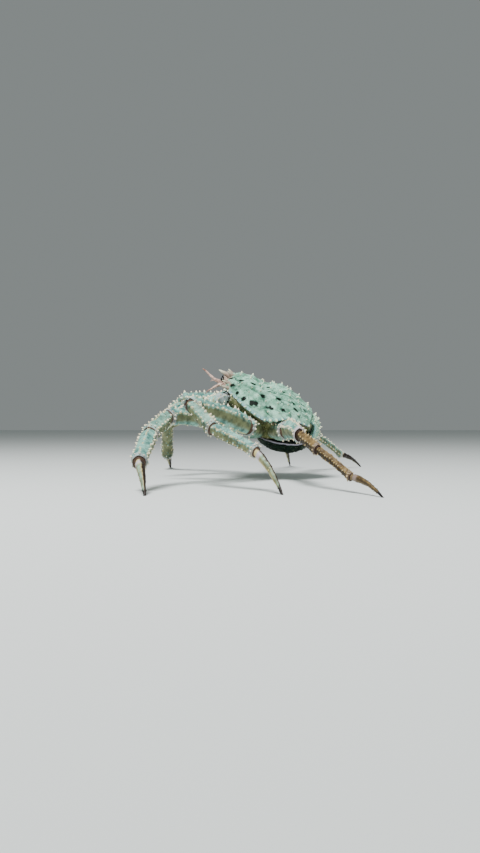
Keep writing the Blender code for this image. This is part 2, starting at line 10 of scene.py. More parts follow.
import bpy
import numpy as np
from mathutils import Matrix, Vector


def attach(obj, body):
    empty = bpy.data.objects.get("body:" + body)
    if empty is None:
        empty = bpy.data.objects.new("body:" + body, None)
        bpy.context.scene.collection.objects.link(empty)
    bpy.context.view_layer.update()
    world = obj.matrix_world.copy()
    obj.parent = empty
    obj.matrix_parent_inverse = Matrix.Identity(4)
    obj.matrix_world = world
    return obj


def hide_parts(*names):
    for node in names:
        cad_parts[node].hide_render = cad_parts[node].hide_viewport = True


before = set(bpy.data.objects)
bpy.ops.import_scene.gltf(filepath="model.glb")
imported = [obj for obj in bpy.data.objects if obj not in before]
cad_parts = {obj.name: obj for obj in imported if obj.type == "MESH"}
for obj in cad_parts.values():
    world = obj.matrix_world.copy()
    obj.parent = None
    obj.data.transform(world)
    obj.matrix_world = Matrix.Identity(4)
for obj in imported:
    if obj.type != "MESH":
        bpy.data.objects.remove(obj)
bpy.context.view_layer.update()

bl_info = {
    "name": "Red king crab",
    "version": (1, 0, 0),
    "blender": (4, 5, 0),
    "location": "3D View > Sidebar > Crab",
    "description": "Builds the detailed plates, limbs and finishes of a king crab model",
    "category": "Object",
}

MM = 0.001
SIDES = {"left": -1, "right": 1}
UP = np.array((0.0, 0.0, 1.0))
ASIDE = np.array((0.0, 1.0, 0.0))  # to the body's right, in its own frame

# Camera, for a frame of this many pixels
FRAME_PIXELS = (480, 853)
FOCAL_PIXELS = 970.0
SENSOR_WIDTH = 36.0
CAMERA_ASIDE = -0.039  # metres from the body's middle
CAMERA_PITCH = 0.44  # degrees below level

# Studio, in metres: name, place and size of each lamp
LAMPS = [("key", (-0.5, -0.75, 1.9), 0.7), ("fill", (1.3, -1.2, 0.9), 1.4)]
LAMP_TARGET = (0, 0, 0.08)
FLOOR_REACH = 6.0

# Carriage of the body over the floor
BODY_HEIGHT = 115.5
BODY_PITCH, BODY_ROLL = 18.0, 12.0

# Carapace in the body's frame: x to the rear, y to the right, z up
SHELL_FRONT, SHELL_LENGTH, SHELL_RIM = -62.0, 130.0, 3.0
HALF_WIDTH = [(0, 20), (0.06, 31), (0.16, 48), (0.24, 60), (0.36, 71), (0.5, 76), (0.62, 76),
              (0.77, 69), (0.9, 58), (1, 44)]
EDGE_LEVEL = [(0, -2), (0.06, -3), (0.16, -6), (0.24, -9), (0.36, -13), (0.5, -17), (0.62, -13),
              (0.77, -6), (0.9, -9), (1, -12)]
CROWN_LEVEL = [(0, 16.5), (0.08, 18.5), (0.2, 19), (0.4, 18.5), (0.6, 18.5), (0.7, 16.5), (0.8, 12.5),
               (0.9, 7.5), (1, 1.5)]
# Swellings and broad valleys: place along, place across, spread along, spread across, height.
# What lies off the middle line has its twin on the other side.
SHELL_REGIONS = [(0.20, 0, 0.10, 0.30, 3.0), (0.61, 0, 0.09, 0.16, 3.5), (0.60, 0.50, 0.16, 0.20, 3.5),
                 (0.41, 0, 0.05, 0.30, -2.5), (0.62, 0.27, 0.15, 0.06, -2.5)]
# The finer grooves that part the regions, in the same form
SHELL_GROOVES = [(0.40, 0.34, 0.03, 0.10, -1.6), (0.30, 0.60, 0.10, 0.04, -1.8),
                 (0.44, 0.70, 0.03, 0.16, -1.4), (0.80, 0, 0.03, 0.22, -1.2), (0.08, 0, 0.07, 0.05, -1.2)]
# Rows of shell spines: place across, count on each side, first and last place along, length
SHELL_SPINE_ROWS = [(0.90, 9, 0.12, 0.95, 4.0), (0.76, 8, 0.15, 0.92, 4.2), (0.60, 8, 0.18, 0.92, 4.8),
                    (0.43, 8, 0.16, 0.93, 4.6), (0.26, 8, 0.13, 0.93, 5.0), (0.09, 7, 0.12, 0.92, 5.2)]
SHELL_GRANULES = 1300
EDGE_SPINES, EDGE_SPINE_LENGTH = 17, 6.0
# The rostrum and the teeth beside it: root, direction, length, radius, with twins as above
ROSTRUM = [((-56, 0, 13), (-1, 0, 0.14), 23, 4.704), ((-57, 6, 15.5), (-1, 0.35, 0.6), 11, 2.856),
           ((-58, 15, 5.5), (-1, 0.3, 0.15), 12, 2.856), ((-53, 25, 0), (-1, 0.35, 0.1), 15, 2.856)]
# Dark spots of the shell, the same on both sides: place along, place across, size
SHELL_SPOTS = [(0.07, 0.86, 3.2), (0.15, 0.93, 3.0), (0.23, 0.94, 3.4), (0.35, 0.91, 4.8), (0.42, 0.65, 3.4),
               (0.53, 0.86, 3.8), (0.59, 0.65, 3.4), (0.67, 0.87, 3.2), (0.72, 0.40, 2.8), (0.80, 0.78, 3.2),
               (0.62, 0.22, 2.4), (0.87, 0.28, 2.6), (0.15, 0.47, 3.0), (0.28, 0.40, 2.8), (0.03, 0.55, 2.4),
               (0.45, 0.16, 2.4), (0.76, 0.60, 2.4), (0.90, 0.55, 2.6), (0.47, 0.46, 1.8)]
SPOT_CLEAR = 0.25  # spines and granules grow where a spot is fainter than this

# Thorax, from one place along the shell to another: half width, and level of its underside
THORAX_FRONT, THORAX_REAR = 0.03, 0.93
THORAX_WIDTH = [(0, 22), (0.08, 37), (0.2, 50), (0.45, 65), (0.65, 66), (0.85, 58), (1, 44)]
THORAX_DEPTH = [(0, -34), (0.2, -46), (0.45, -53), (0.7, -50), (1, -36)]
SUTURES, SUTURE_WIDTH = (-38, -22, 8, 30), 1.6
CHEEK, CHEEK_SPREAD, CHEEK_SPINES = (-48, 38, -15), (10, 13, 8), 10  # the swellings beside the mouth
THORAX_MIDDLE = -22  # the level that its granules point away from
FACE_LEVEL, FACE_FRAME = -20, 11.0  # level of the face's middle, and the mouth frame's half width
REAR_BULGE, REAR_LEVEL = 13, -31  # how far the rounded rear reaches, and the level of its middle
THORAX_GRANULES, FACE_BRISTLES, FACE_TEETH = 420, 46, 7
# Its side from the shell's edge down to the middle: share of the half width, share of the depth
THORAX_SIDE = [(1, 0), (0.97, 0.2), (0.82, 0.38), (0.7, 0.58), (0.58, 0.8), (0.42, 0.95), (0.2, 1.0),
               (0, 1.03)]

# Abdomen: x, z, half width, half thickness and how far the margins curl inwards
ABDOMEN = [(62, -9, 24, 4.5, 0), (70, -9, 26, 5, 0), (77, -12, 28, 5.4, 0), (80.5, -20, 29, 5.8, 1),
           (79.5, -31, 29, 6, 2), (75, -41, 28, 6, 4), (69, -49, 31, 6.5, 7), (60, -56, 34, 7.2, 10),
           (46, -61, 36, 7.6, 12), (30, -62.5, 35, 7.2, 11), (17, -61, 30, 6, 8), (9, -59, 20, 4, 4),
           (5.5, -58, 9, 2, 1)]
ABDOMEN_SPLIT = 5  # the station where the band of the tail ends and its flap starts
ABDOMEN_GRANULES = 260
# Rows of spines on each stretch: share of the half width, count, length
BAND_SPINES = [(0.14, 4, 3.6), (0.5, 5, 4.6), (0.8, 5, 5.0)]
FLAP_SPINES = [(0.25, 4, 1.8), (0.65, 5, 1.8)]

# Walking legs: both ends of the hip on the right side, then radii and lengths from the merus down
LEG_HIPS = {1: (-30, 30, -38), 2: (0, 36, -42), 3: (22, 36, -34)}
LEG_ROOTS = {1: (-44, 70, -40), 2: (-15, 82, -32), 3: (38, 84, -20)}
LEG_RADII = {1: (11.5, 10.2, 10.2, 5.5), 2: (12.6, 9.4, 8.2, 5.2), 3: (11.0, 6.7, 5.2, 3.9)}
LEG_LENGTHS = {1: (110, 54, 80, 76), 2: (114, 56, 84, 80), 3: (104, 50, 76, 74)}
# Turn and rise of merus, carpus and propodus, and the turn of the dactylus, which ends on the floor
LEG_POSES = {
    ("left", 1): ((-132, 5), (-113, -23), (-95, -24), -79),
    ("left", 2): ((-131, 14), (-54, -31), (-48, -18.5), -64),
    ("left", 3): ((-84, -2), (-66, -20), (-61, -23), -68),
    ("right", 1): ((135, 5), (133, -32), (94, -50), 90),
    ("right", 2): ((81, 14), (67, -35), (72, -41), 76),
    ("right", 3): ((74, -8), (46, -39), (51, -25), 54),
}
# Outlines of the segments: place along, share of the radius
MERUS = [(0, 0.72), (0.06, 0.94), (0.16, 1.06), (0.45, 0.98), (0.75, 0.86), (0.93, 0.9), (1, 0.8)]
CARPUS = [(0, 0.66), (0.14, 0.88), (0.38, 1.0), (0.7, 1.02), (0.9, 1.1), (1, 0.96)]
PROPODUS = [(0, 0.7), (0.1, 0.92), (0.3, 1.0), (0.6, 0.92), (0.84, 0.94), (0.95, 1.04), (1, 0.9)]
DACTYLUS = [(0, 0.75), (0.08, 1.0), (0.22, 1.04), (0.5, 0.82), (0.78, 0.55), (1, 0.3)]
HIP = [(0, 0.85), (0.45, 1.0), (0.66, 1.04), (0.8, 0.92), (0.92, 0.95), (1, 0.84)]
HIP_RADIUS = 13.5
LIMB_THINNESS = {1: 0.9, 2: 0.74, 3: 0.74}
HIP_THINNESS = 0.95
LIMB_GRANULES, FOOT_GRANULES, CUFF_SPINES = 60, 30, 11
BEND_ZONE = 20 * MM  # how far from a joint its plane's slant is felt
CUFF_LIP = 1.6 * MM
# The two ends of a segment: place from its joint against the cuff's lip, share of the radius
HEAD_END = [(-1, 0.5), (-1, 0.86), (-0.6, 0.97)]
TAIL_ENDS = {"cuff": [(0.3, 0.99), (0.3, 0.95), (-0.5, 0.9), (-1.2, 0.88), (-1.2, 0.4)], "palm": [(0.5, 0.5)],
             "foot": [(0, 0.6)]}
# Rows of limb spines: angle round the limb from its side, count, first and last place, length
HIP_SPINES = [(90, 3, 0.6, 0.97, 4.4), (150, 3, 0.55, 0.97, 4.0), (30, 3, 0.55, 0.97, 4.0)]
MERUS_SPINES = [(90, 10, 0.1, 0.95, 5.0), (156, 12, 0.1, 0.95, 3.6), (24, 12, 0.1, 0.95, 3.6),
                (122, 3, 0.25, 0.85, 2.4), (58, 3, 0.25, 0.85, 2.4), (240, 5, 0.2, 0.9, 2.4),
                (300, 5, 0.2, 0.9, 2.4)]
CARPUS_SPINES = [(88, 6, 0.14, 0.9, 5.0), (154, 7, 0.14, 0.92, 4.0), (26, 7, 0.14, 0.92, 4.0),
                 (122, 2, 0.3, 0.8, 2.8), (190, 3, 0.3, 0.85, 2.6), (-10, 3, 0.3, 0.85, 2.6)]
PROPODUS_SPINES = [(90, 7, 0.1, 0.93, 3.2), (154, 15, 0.06, 0.95, 3.3), (26, 15, 0.06, 0.95, 3.3),
                   (212, 8, 0.12, 0.92, 2.6), (328, 8, 0.12, 0.92, 2.6), (270, 4, 0.16, 0.9, 2.2)]
# Segments of a leg: outline, bow against its length, angles of its ridges round it from its side, spines
LEG_PARTS = {
    "hip": (HIP, 0, (90, 150, 30), HIP_SPINES),
    "merus": (MERUS, 0.03, (90, 154, 26, 252, 288), MERUS_SPINES),
    "carpus": (CARPUS, 0, (88, 154, 26), CARPUS_SPINES),
    "propodus": (PROPODUS, 0.015, (90, 154, 26, 215, 325), PROPODUS_SPINES),
    "dactylus": (DACTYLUS, 0.06, (90, 210, 330), []),
}
# One leg's far segments are tan, and some segments of every leg are dull to a degree
TAN_LEG, TAN_PARTS = ("left", 3), ("carpus", "propodus", "dactylus")
DULLNESS = {"hip": 0.5, "carpus": 0.4}

# Claws, in the same forms. Their lengths run from the merus to the fingers.
CLAW_HIP, CLAW_ROOT = (-46, 18, -34), (-63, 30, -28)
CLAW_SIZE = {"left": 0.86, "right": 1.0}
CLAW_LENGTHS = {"left": (35, 25, 46, 31), "right": (43, 28, 50, 36)}
CLAW_POSES = {
    "left": ((-74, 17), (-155, -26), (163, -20)),
    "right": ((124, -20), (-178, 5), (-124, -22)),
}
CLAW_MERUS = [(0, 0.72), (0.1, 0.94), (0.35, 1.02), (0.6, 1.04), (0.85, 1.16), (1, 1.12)]
PALM = [(0, 0.42), (0.12, 0.7), (0.35, 0.96), (0.65, 1.04), (0.88, 0.94), (1, 0.74)]
CLAW_HIP_RADIUS = 10.0
CLAW_RADII = (10.0, 10.4, 14.5)
CLAW_SPINES = [(88, 5, 0.2, 0.92, 5.4), (120, 3, 0.3, 0.9, 4.0), (145, 4, 0.25, 0.88, 4.4),
               (38, 4, 0.25, 0.86, 4.4), (62, 3, 0.3, 0.9, 3.6), (185, 3, 0.3, 0.9, 3.0)]
PALM_SPINES = [(90, 7, 0.15, 0.92, 4.6), (112, 5, 0.2, 0.86, 3.6), (140, 5, 0.22, 0.86, 3.8),
               (40, 5, 0.22, 0.86, 3.8), (66, 5, 0.2, 0.86, 3.4), (170, 4, 0.3, 0.85, 2.6),
               (10, 4, 0.3, 0.85, 2.6)]
# Segments of a claw limb: outline, thinness, angles of its ridges, spines
CLAW_PARTS = {
    "hip": (HIP, 0.95, (), []),
    "merus": (CLAW_MERUS, 0.74, (90, 150, 30), CLAW_SPINES),
    "carpus": (CARPUS, 0.9, (88, 150, 30), CLAW_SPINES),
    "palm": (PALM, 0.62, (90, 145, 35), PALM_SPINES),
}
# Fingers: place along, height over the palm's axis and radius, both in palm radii
FIXED_FINGER = [(-0.3, -0.36, 0.36), (0.12, -0.42, 0.34), (0.5, -0.46, 0.27), (0.82, -0.36, 0.16),
                (1, -0.2, 0.05)]
MOVING_FINGER = [(0, 0.36, 0.3), (0.2, 0.44, 0.31), (0.55, 0.42, 0.25), (0.85, 0.22, 0.15),
                 (1.02, 0.02, 0.05)]
FINGER_TEETH, FINGER_BRISTLES = 9, 26

# Head: places in the body's frame, on the right side where only one side is given
EYE_ROOT, EYE_REACH, STALK_RADIUS = (-62.3, 8, 7.5), 7.5, 2.3
# The eye from its root to the end of its cornea: reach, radius
EYE_OUTLINE = [(-0.2, 1.25), (0.25, 1.15), (0.55, 1.2), (0.75, 1.38), (0.95, 1.42), (1.12, 1.22),
               (1.26, 0.78), (1.33, 0.1)]
EYE_SUNK = 3.0  # how much deeper the stalk starts
ANTENNA = {
    "left": [(-62.3, -11, -1), (-69, -13, 0), (-75, -17, -4), (-80, -22, -9), (-83, -30, -10.5),
             (-84, -40, -11), (-84, -51, -11), (-83, -62, -10)],
    "right": [(-62.3, 11, -1), (-74, 14, -2), (-86, 17, 1.5), (-97, 20.5, 6.5), (-101, 28, 6.5),
              (-103, 39, 5), (-103.5, 51, 2.5), (-102, 63, -1)],
}
ANTENNA_RADII = (2.4, 2.3, 1.9, 1.5, 0.8, 0.65, 0.5, 0.3)
# Spines of the antenna's scale: direction on the right side, length, radius
ANTENNA_SCALE = [((-1, 0.9, 0.1), 9, 1.5), ((-1, 0.35, 0.5), 6, 1.1), ((-1, 1.4, -0.2), 6, 1.1)]
ANTENNULE = [(-62.3, 2.9, 0.5), (-68, 3.6, 1.5), (-74, 4.4, 2.6), (-80, 5.6, 1.8), (-85, 7.0, -1)]
ANTENNULE_RADII = (1.3, 1.2, 1.0, 0.6, 0.3)
MOUTH_LEG = [(-48, 9, -30), (-63, 9, -30), (-73, 8, -38), (-72, 6, -49)]
MOUTH_LEG_RADII = (4.2, 4.41, 3.99, 1.89)
# The plate over the jaws, and the inner mouth limb and jaw of the right side: points, then radii
MOUTH_PLATE = [(-57.5, -9, -11), (-60, -4, -12.5), (-60.5, 0, -13), (-60, 4, -12.5), (-57.5, 9, -11)]
MOUTH_PLATE_RADII = (1.0, 2.4, 2.8, 2.4, 1.0)
INNER_LIMB = [(-54, 3.4, -29), (-62, 3.2, -31), (-68, 2.8, -38), (-67.5, 2.2, -45)]
INNER_LIMB_RADII = (1.8, 1.9, 1.6, 0.8)
JAW = [(-56, 6.5, -18), (-60, 5, -20.5), (-62.5, 2.6, -23.5), (-63, 0.9, -25.5)]
JAW_RADII = (3.2, 3.4, 2.4, 0.7)

# A spine from below its root to its tip: height against length, radius against base radius
SPINE_PROFILE = [(-0.3, 2.1), (-0.06, 1.75), (0.03, 1.42), (0.12, 1.16), (0.28, 0.92), (0.5, 0.7),
                 (0.7, 0.48), (0.86, 0.3), (0.96, 0.15), (1.0, 0.02)]
SPINE_SLIMNESS = 0.4  # base radius against length
SPINE_SIDES, GRANULE_SIDES, BRISTLE_SIDES, ROSTRUM_SIDES = 10, 6, 5, 20
TUBE_STEP = 0.5 * MM
# The values that each point of a mesh carries for its material
# One value is painted shade in hollows, grooves and folds, near joints and inside cuffs; on ringed tubes it is
# the dark line of each joint
POINT_VALUES = ("tip", "spot", "rim", "under", "seam", "ridge", "hollow", "stripe")

draw = np.random.default_rng(5)


def rotation(axis, degrees):
    """The matrix of a turn about the X (0), Y (1) or Z (2) axis."""
    c, s = math.cos(math.radians(degrees)), math.sin(math.radians(degrees))
    return {
        0: np.array(((1, 0, 0), (0, c, -s), (0, s, c))),
        1: np.array(((c, 0, s), (0, 1, 0), (-s, 0, c))),
        2: np.array(((c, -s, 0), (s, c, 0), (0, 0, 1))),
    }[axis]


BODY_TURN = rotation(1, BODY_PITCH) @ rotation(0, BODY_ROLL)


def unit(vectors):
    """The vectors at length one."""
    return vectors / np.maximum(np.linalg.norm(vectors, axis=-1, keepdims=True), 1e-12)


def through(stations, place):
    """The values at places on a smooth curve through (place, value) stations."""
    s, v = np.array(stations, float).T
    place = np.asarray(place, float)
    i = np.clip(np.searchsorted(s, place, side="left") - 1, 0, len(s) - 2)
    before, after = np.maximum(i - 1, 0), np.minimum(i + 2, len(s) - 1)
    slope0 = (v[i + 1] - v[before]) / (s[i + 1] - s[before])
    slope1 = (v[after] - v[i]) / (s[after] - s[i])
    span = s[i + 1] - s[i]
    t = (place - s[i]) / span
    return (
        v[i] * (2 * t**3 - 3 * t**2 + 1)
        + v[i + 1] * (3 * t**2 - 2 * t**3)
        + span * slope0 * (t**3 - 2 * t**2 + t)
        + span * slope1 * (t**3 - t**2)
    )


def smooth_step(low, high, value):
    """From 0 at low to 1 at high, with soft ends."""
    t = np.clip((value - low) / (high - low), 0, 1)
    return t * t * (3 - 2 * t)


NOISE_TURN = rotation(2, 31) @ rotation(1, 23) @ rotation(0, 47)


def noise(points, size, seed=0):
    """Smooth noise from -1 to 1, with features of about the given size, at points in metres."""
    p = points @ NOISE_TURN / size + seed * 7.31
    cell = np.floor(p).astype(np.int64)
    f = p - cell
    f = f * f * (3 - 2 * f)
    total = 0.0
    for corner in np.ndindex(2, 2, 2):
        c = cell + corner
        h = (c[..., 0] * 73856093) ^ (c[..., 1] * 19349663) ^ (c[..., 2] * 83492791)
        h = (h * 2654435761 + 40503) & 0xFFFFFFFF
        value = ((h >> 9) & 0xFFFF) / 32767.5 - 1
        total = total + value * np.prod(np.where(np.array(corner) == 1, f, 1 - f), axis=-1)
    return total


def in_frame(points):
    """Points of the body's frame, in mm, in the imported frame."""
    return (np.asarray(points, float) @ BODY_TURN.T + (0, 0, BODY_HEIGHT)) * MM + SHIFT


def in_frame_directions(directions):
    """Directions of the body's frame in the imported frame, at length one."""
    return unit(np.asarray(directions, float) @ BODY_TURN.T)


def aim(turn, rise):
    """The unit direction of a turn from +X towards +Y and a rise."""
    t, r = math.radians(turn), math.radians(rise)
    return np.array((math.cos(t) * math.cos(r), math.sin(t) * math.cos(r), math.sin(r)))


def mirrored(points, side):
    """Points of the body's right half on the given side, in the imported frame."""
    return in_frame(np.array(points, float) * (1, SIDES[side], 1))


def chain(hip, root, poses, lengths, side):
    """The joints of a limb, from its hip in the body through each (turn, rise) and length."""
    joints = [mirrored(hip, side), mirrored(root, side)]
    for (turn, rise), length in zip(poses, lengths):
        joints.append(joints[-1] + aim(turn, rise) * length * MM)
    return joints


def leg_joints(side, number):
    """The joints of a walking leg, down to the middle of its flat on the floor."""
    poses, lengths = LEG_POSES[side, number], LEG_LENGTHS[number]
    joints = chain(LEG_HIPS[number], LEG_ROOTS[number], poses[:3], lengths, side)
    drop = -math.degrees(math.asin(joints[-1][2] / (lengths[3] * MM)))
    joints.append(joints[-1] + aim(poses[3], drop) * lengths[3] * MM)
    return joints


def packed_shift():
    """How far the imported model's centre lies from the body's own: told by where one foot's flat is."""
    points = np.array([v.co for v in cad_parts["left_leg1_dactylus"].data.vertices])
    flat = points[points[:, 2] < 1e-5].mean(0)
    return (flat - leg_joints("left", 1)[-1]) * (1, 1, 0)


# The shift is measured with none in place
SHIFT = np.zeros(3)
SHIFT = packed_shift()
# The body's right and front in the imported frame
ACROSS, AHEAD = in_frame_directions(((0, 1, 0), (-1, 0, 0)))


class Shape:
    """Points, faces and named values of each point, put together for one mesh."""

    def __init__(self):
        self.points, self.faces, self.values, self.count = [], [], {name: [] for name in POINT_VALUES}, 0

    def add(self, points, faces=None, **values):
        """Adds points with their values. Without faces they are a tube, ring by ring, with flat ends."""
        points = np.asarray(points, float)
        for name in POINT_VALUES:
            value = np.broadcast_to(values.get(name, 0.0), points.shape[:-1])
            self.values[name].append(value.astype(np.float32).ravel())
        if faces is None:
            faces = [tube_faces(*points.shape[:2]), *end_faces(*points.shape[:2])]
        self.points.append(points.reshape(-1, 3))
        self.faces += [np.asarray(group) + self.count for group in faces]
        self.count += len(self.points[-1])

    def build(self, name, material):
        """The mesh object, smooth shaded, with its values as attributes."""
        mesh = bpy.data.meshes.new(name)
        points = np.concatenate(self.points)
        corners = np.concatenate([group.ravel() for group in self.faces])
        sizes = np.concatenate([np.full(len(group), group.shape[1]) for group in self.faces])
        mesh.vertices.add(len(points))
        mesh.vertices.foreach_set("co", points.ravel())
        mesh.loops.add(len(corners))
        mesh.loops.foreach_set("vertex_index", corners)
        mesh.polygons.add(len(sizes))
        mesh.polygons.foreach_set("loop_start", np.concatenate(([0], np.cumsum(sizes)[:-1])))
        mesh.update(calc_edges=True)
        mesh.validate()
        for value in POINT_VALUES:
            attribute = mesh.attributes.new(value, "FLOAT", "POINT")
            attribute.data.foreach_set("value", np.concatenate(self.values[value]))
        mesh.shade_smooth()
        mesh.materials.append(material)
        made = bpy.data.objects.new(name, mesh)
        bpy.context.scene.collection.objects.link(made)
        return made


def tube_faces(rows, columns):
    """The quads of a tube of points, ring by ring."""
    i, j = np.meshgrid(np.arange(rows - 1), np.arange(columns), indexing="ij")
    k = (j + 1) % columns
    quads = np.stack((i * columns + j, i * columns + k, (i + 1) * columns + k, (i + 1) * columns + j), -1)
    return quads.reshape(-1, 4)


def end_faces(rows, columns):
    """The two flat ends of a tube of points."""
    first = np.arange(columns)[::-1]
    last = np.arange(columns) + (rows - 1) * columns
    return [first[None, :], last[None, :]]


def add_spines(shape, roots, directions, lengths, radii, sides=SPINE_SIDES, bend=0.0, flare=2.1, pale=1.0,
               **values):
    """Adds tapered spines from roots in metres, towards directions, with their lengths and base radii in mm.

    bend curves them towards the floor, against length, flare is the widest that a root may be, against the
    base radius, and pale how far the tips' own tone shows.
    """
    roots, directions = np.atleast_2d(roots), unit(np.atleast_2d(directions))
    count = len(roots)
    lengths, radii = (np.broadcast_to(size, count)[:, None] * MM for size in (lengths, radii))
    helper = np.where(np.abs(directions[:, 2:3]) < 0.9, UP, np.array((1.0, 0, 0)))
    aside = unit(np.cross(directions, helper))
    other = np.cross(directions, aside)
    height, width = np.array(SPINE_PROFILE).T
    angles = 2 * np.pi * np.arange(sides) / sides
    circle = aside[:, None, None] * np.cos(angles)[:, None] + other[:, None, None] * np.sin(angles)[:, None]
    points = roots[:, None, None] + directions[:, None, None] * (lengths * height)[:, :, None, None]
    points = points + circle * (radii * np.minimum(width, flare))[:, :, None, None]
    points = points + other[:, None, None] * (lengths * bend * height**2)[:, :, None, None]
    one = tube_faces(len(height), sides)
    faces = [(one[None] + (np.arange(count) * len(height) * sides)[:, None, None]).reshape(-1, 4)]
    values = {name: np.broadcast_to(value, count)[:, None, None] for name, value in values.items()}
    shape.add(points, faces, **{"tip": np.clip(height, 0, 1)[:, None] * pale, **values})


def add_body_spines(shape, roots, directions, lengths, radii, **rest):
    """Adds spines whose roots, in mm, and directions are in the body's frame."""
    add_spines(shape, in_frame(roots), in_frame_directions(directions), lengths, radii, **rest)


def mounds(points, normals, roots, radii, height):
    """Raises a surface round the roots of its spines, so that they grow out of it."""
    lift = np.zeros(points.shape[:-1])
    for root, radius in zip(roots, radii):
        far = ((points - root) ** 2).sum(-1) / (2.6 * radius) ** 2
        lift = np.maximum(lift, np.exp(-far) * radius * height)
    return points + normals * lift[..., None]


def grid_normals(points):
    """The unit normals of a grid of points, rows along and columns across."""
    along = np.gradient(points, axis=0)
    across = np.gradient(points, axis=1)
    return unit(np.cross(along, across))


def place_piece(shape, name, material, solid=None):
    """Makes the shape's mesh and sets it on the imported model, in the place of its solid where it has one."""
    made = shape.build(name, material)
    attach(made, "root")
    if solid:
        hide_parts(solid)


def scattered(count, first, last, jitter):
    """Evenly spread places with a little drawn scatter."""
    return np.linspace(first, last, count) + draw.uniform(-jitter, jitter, count)


def with_twins(aside):
    """The signs of the sides that have something at this place across: both, or one on the middle line."""
    return (1, -1) if aside else (1,)


def bell(place, across, patch):
    """How far places lie in a swelling or groove of the carapace, and then in its twin: 1 in the middle."""
    along, aside, spread_along, spread_across, _ = patch
    for sign in with_twins(aside):
        far = ((place - along) / spread_along) ** 2 + ((across - sign * aside) / spread_across) ** 2
        yield np.exp(-far / 2)


# Carapace


def shell_surface(place, across):
    """Points of the carapace's upper face in the body's frame."""
    place, across = np.broadcast_arrays(np.asarray(place, float), np.asarray(across, float))
    edge = through(EDGE_LEVEL, place)
    dome = (1 - np.minimum(np.abs(across), 1) ** 2.2) ** 0.62
    level = edge + (through(CROWN_LEVEL, place) - edge) * dome
    for patch in SHELL_REGIONS + SHELL_GROOVES:
        for share in bell(place, across, patch):
            level = level + patch[-1] * share * np.minimum(1, 3 * dome)
    y = through(HALF_WIDTH, place) * across
    # The front edge runs back over each eye and forward to the rostrum and the teeth beside the eyes
    front = np.clip(1 - place / 0.12, 0, 1) ** 1.5
    notch = 3.2 * np.exp(-(((np.abs(y) - 8.5) / 3.5) ** 2)) - 3.5 * np.exp(-((y / 4.0) ** 2))
    x = SHELL_FRONT + SHELL_LENGTH * place + notch * front
    return np.stack((x, y, level), -1)


def groove_values(place, across):
    """How deep a place of the carapace lies in one of its grooves, from 0 to 1."""
    return np.maximum.reduce([share for patch in SHELL_GROOVES for share in bell(place, across, patch)])


def shell_directions(place, across):
    """The outward directions of the carapace at places, in the body's frame."""
    step = 0.015
    low, high = np.clip(place - step, 0, 1), np.clip(place + step, 0, 1)
    near, far = np.clip(across - step, -0.985, 0.985), np.clip(across + step, -0.985, 0.985)
    along = shell_surface(high, across) - shell_surface(low, across)
    aside = shell_surface(place, far) - shell_surface(place, near)
    return unit(np.cross(along, aside))


def shell_spine_roots():
    """Roots, directions and lengths of the spines of the carapace's upper face."""
    places, asides, lengths = [], [], []
    for across, count, first, last, length in SHELL_SPINE_ROWS:
        for side in SIDES.values():
            places.append(scattered(count, first, last, 0.014))
            asides.append(side * (across + draw.uniform(-0.035, 0.035, count)))
            lengths.append(length * draw.uniform(0.7, 1.15, count))
    places, asides, lengths = np.concatenate(places), np.concatenate(asides), np.concatenate(lengths)
    roots = shell_surface(places, asides)
    lean = np.stack((np.full(len(places), -0.12), np.sign(asides) * 0.18, np.zeros(len(places))), -1)
    clear = spot_values(roots) < SPOT_CLEAR
    return roots[clear], unit(shell_directions(places, asides) + lean)[clear], lengths[clear]


def edge_spine_roots():
    """Roots, directions and lengths of the spines along the side edges."""
    roots, directions, lengths = [], [], []
    for side in SIDES.values():
        place = np.linspace(0.05, 0.98, EDGE_SPINES)
        point = shell_surface(place, side)
        along = shell_surface(np.minimum(place + 0.02, 1), side) - shell_surface(place - 0.02, side)
        out = unit(np.stack((along[:, 1], -along[:, 0], np.zeros(len(place))), -1)) * -side
        roots.append(point + (0, 0, 0.6) - out * 0.8)
        directions.append(out + (0, 0, 0.1))
        size = EDGE_SPINE_LENGTH * np.where(place > 0.55, 1.1, 0.8)
        lengths.append(size * draw.uniform(0.7, 1.15, EDGE_SPINES))
    return np.concatenate(roots), unit(np.concatenate(directions)), np.concatenate(lengths)


def spot_values(points):
    """How dark the carapace's pattern is at points of the body's frame, from 0 to 1 in a spot's middle."""
    values = np.zeros(points.shape[:-1])
    for along, aside, size in SHELL_SPOTS:
        for side in SIDES.values():
            centre = shell_surface(np.array(along), np.array(aside * side))
            gap = (points - centre) / (size * 1.4, size * 1.1, size * 1.2)
            values = np.maximum(values, np.exp(-(gap**2).sum(-1) * 0.7))
    return values * (1 + 0.4 * noise(in_frame(points), 3.5 * MM, 12))


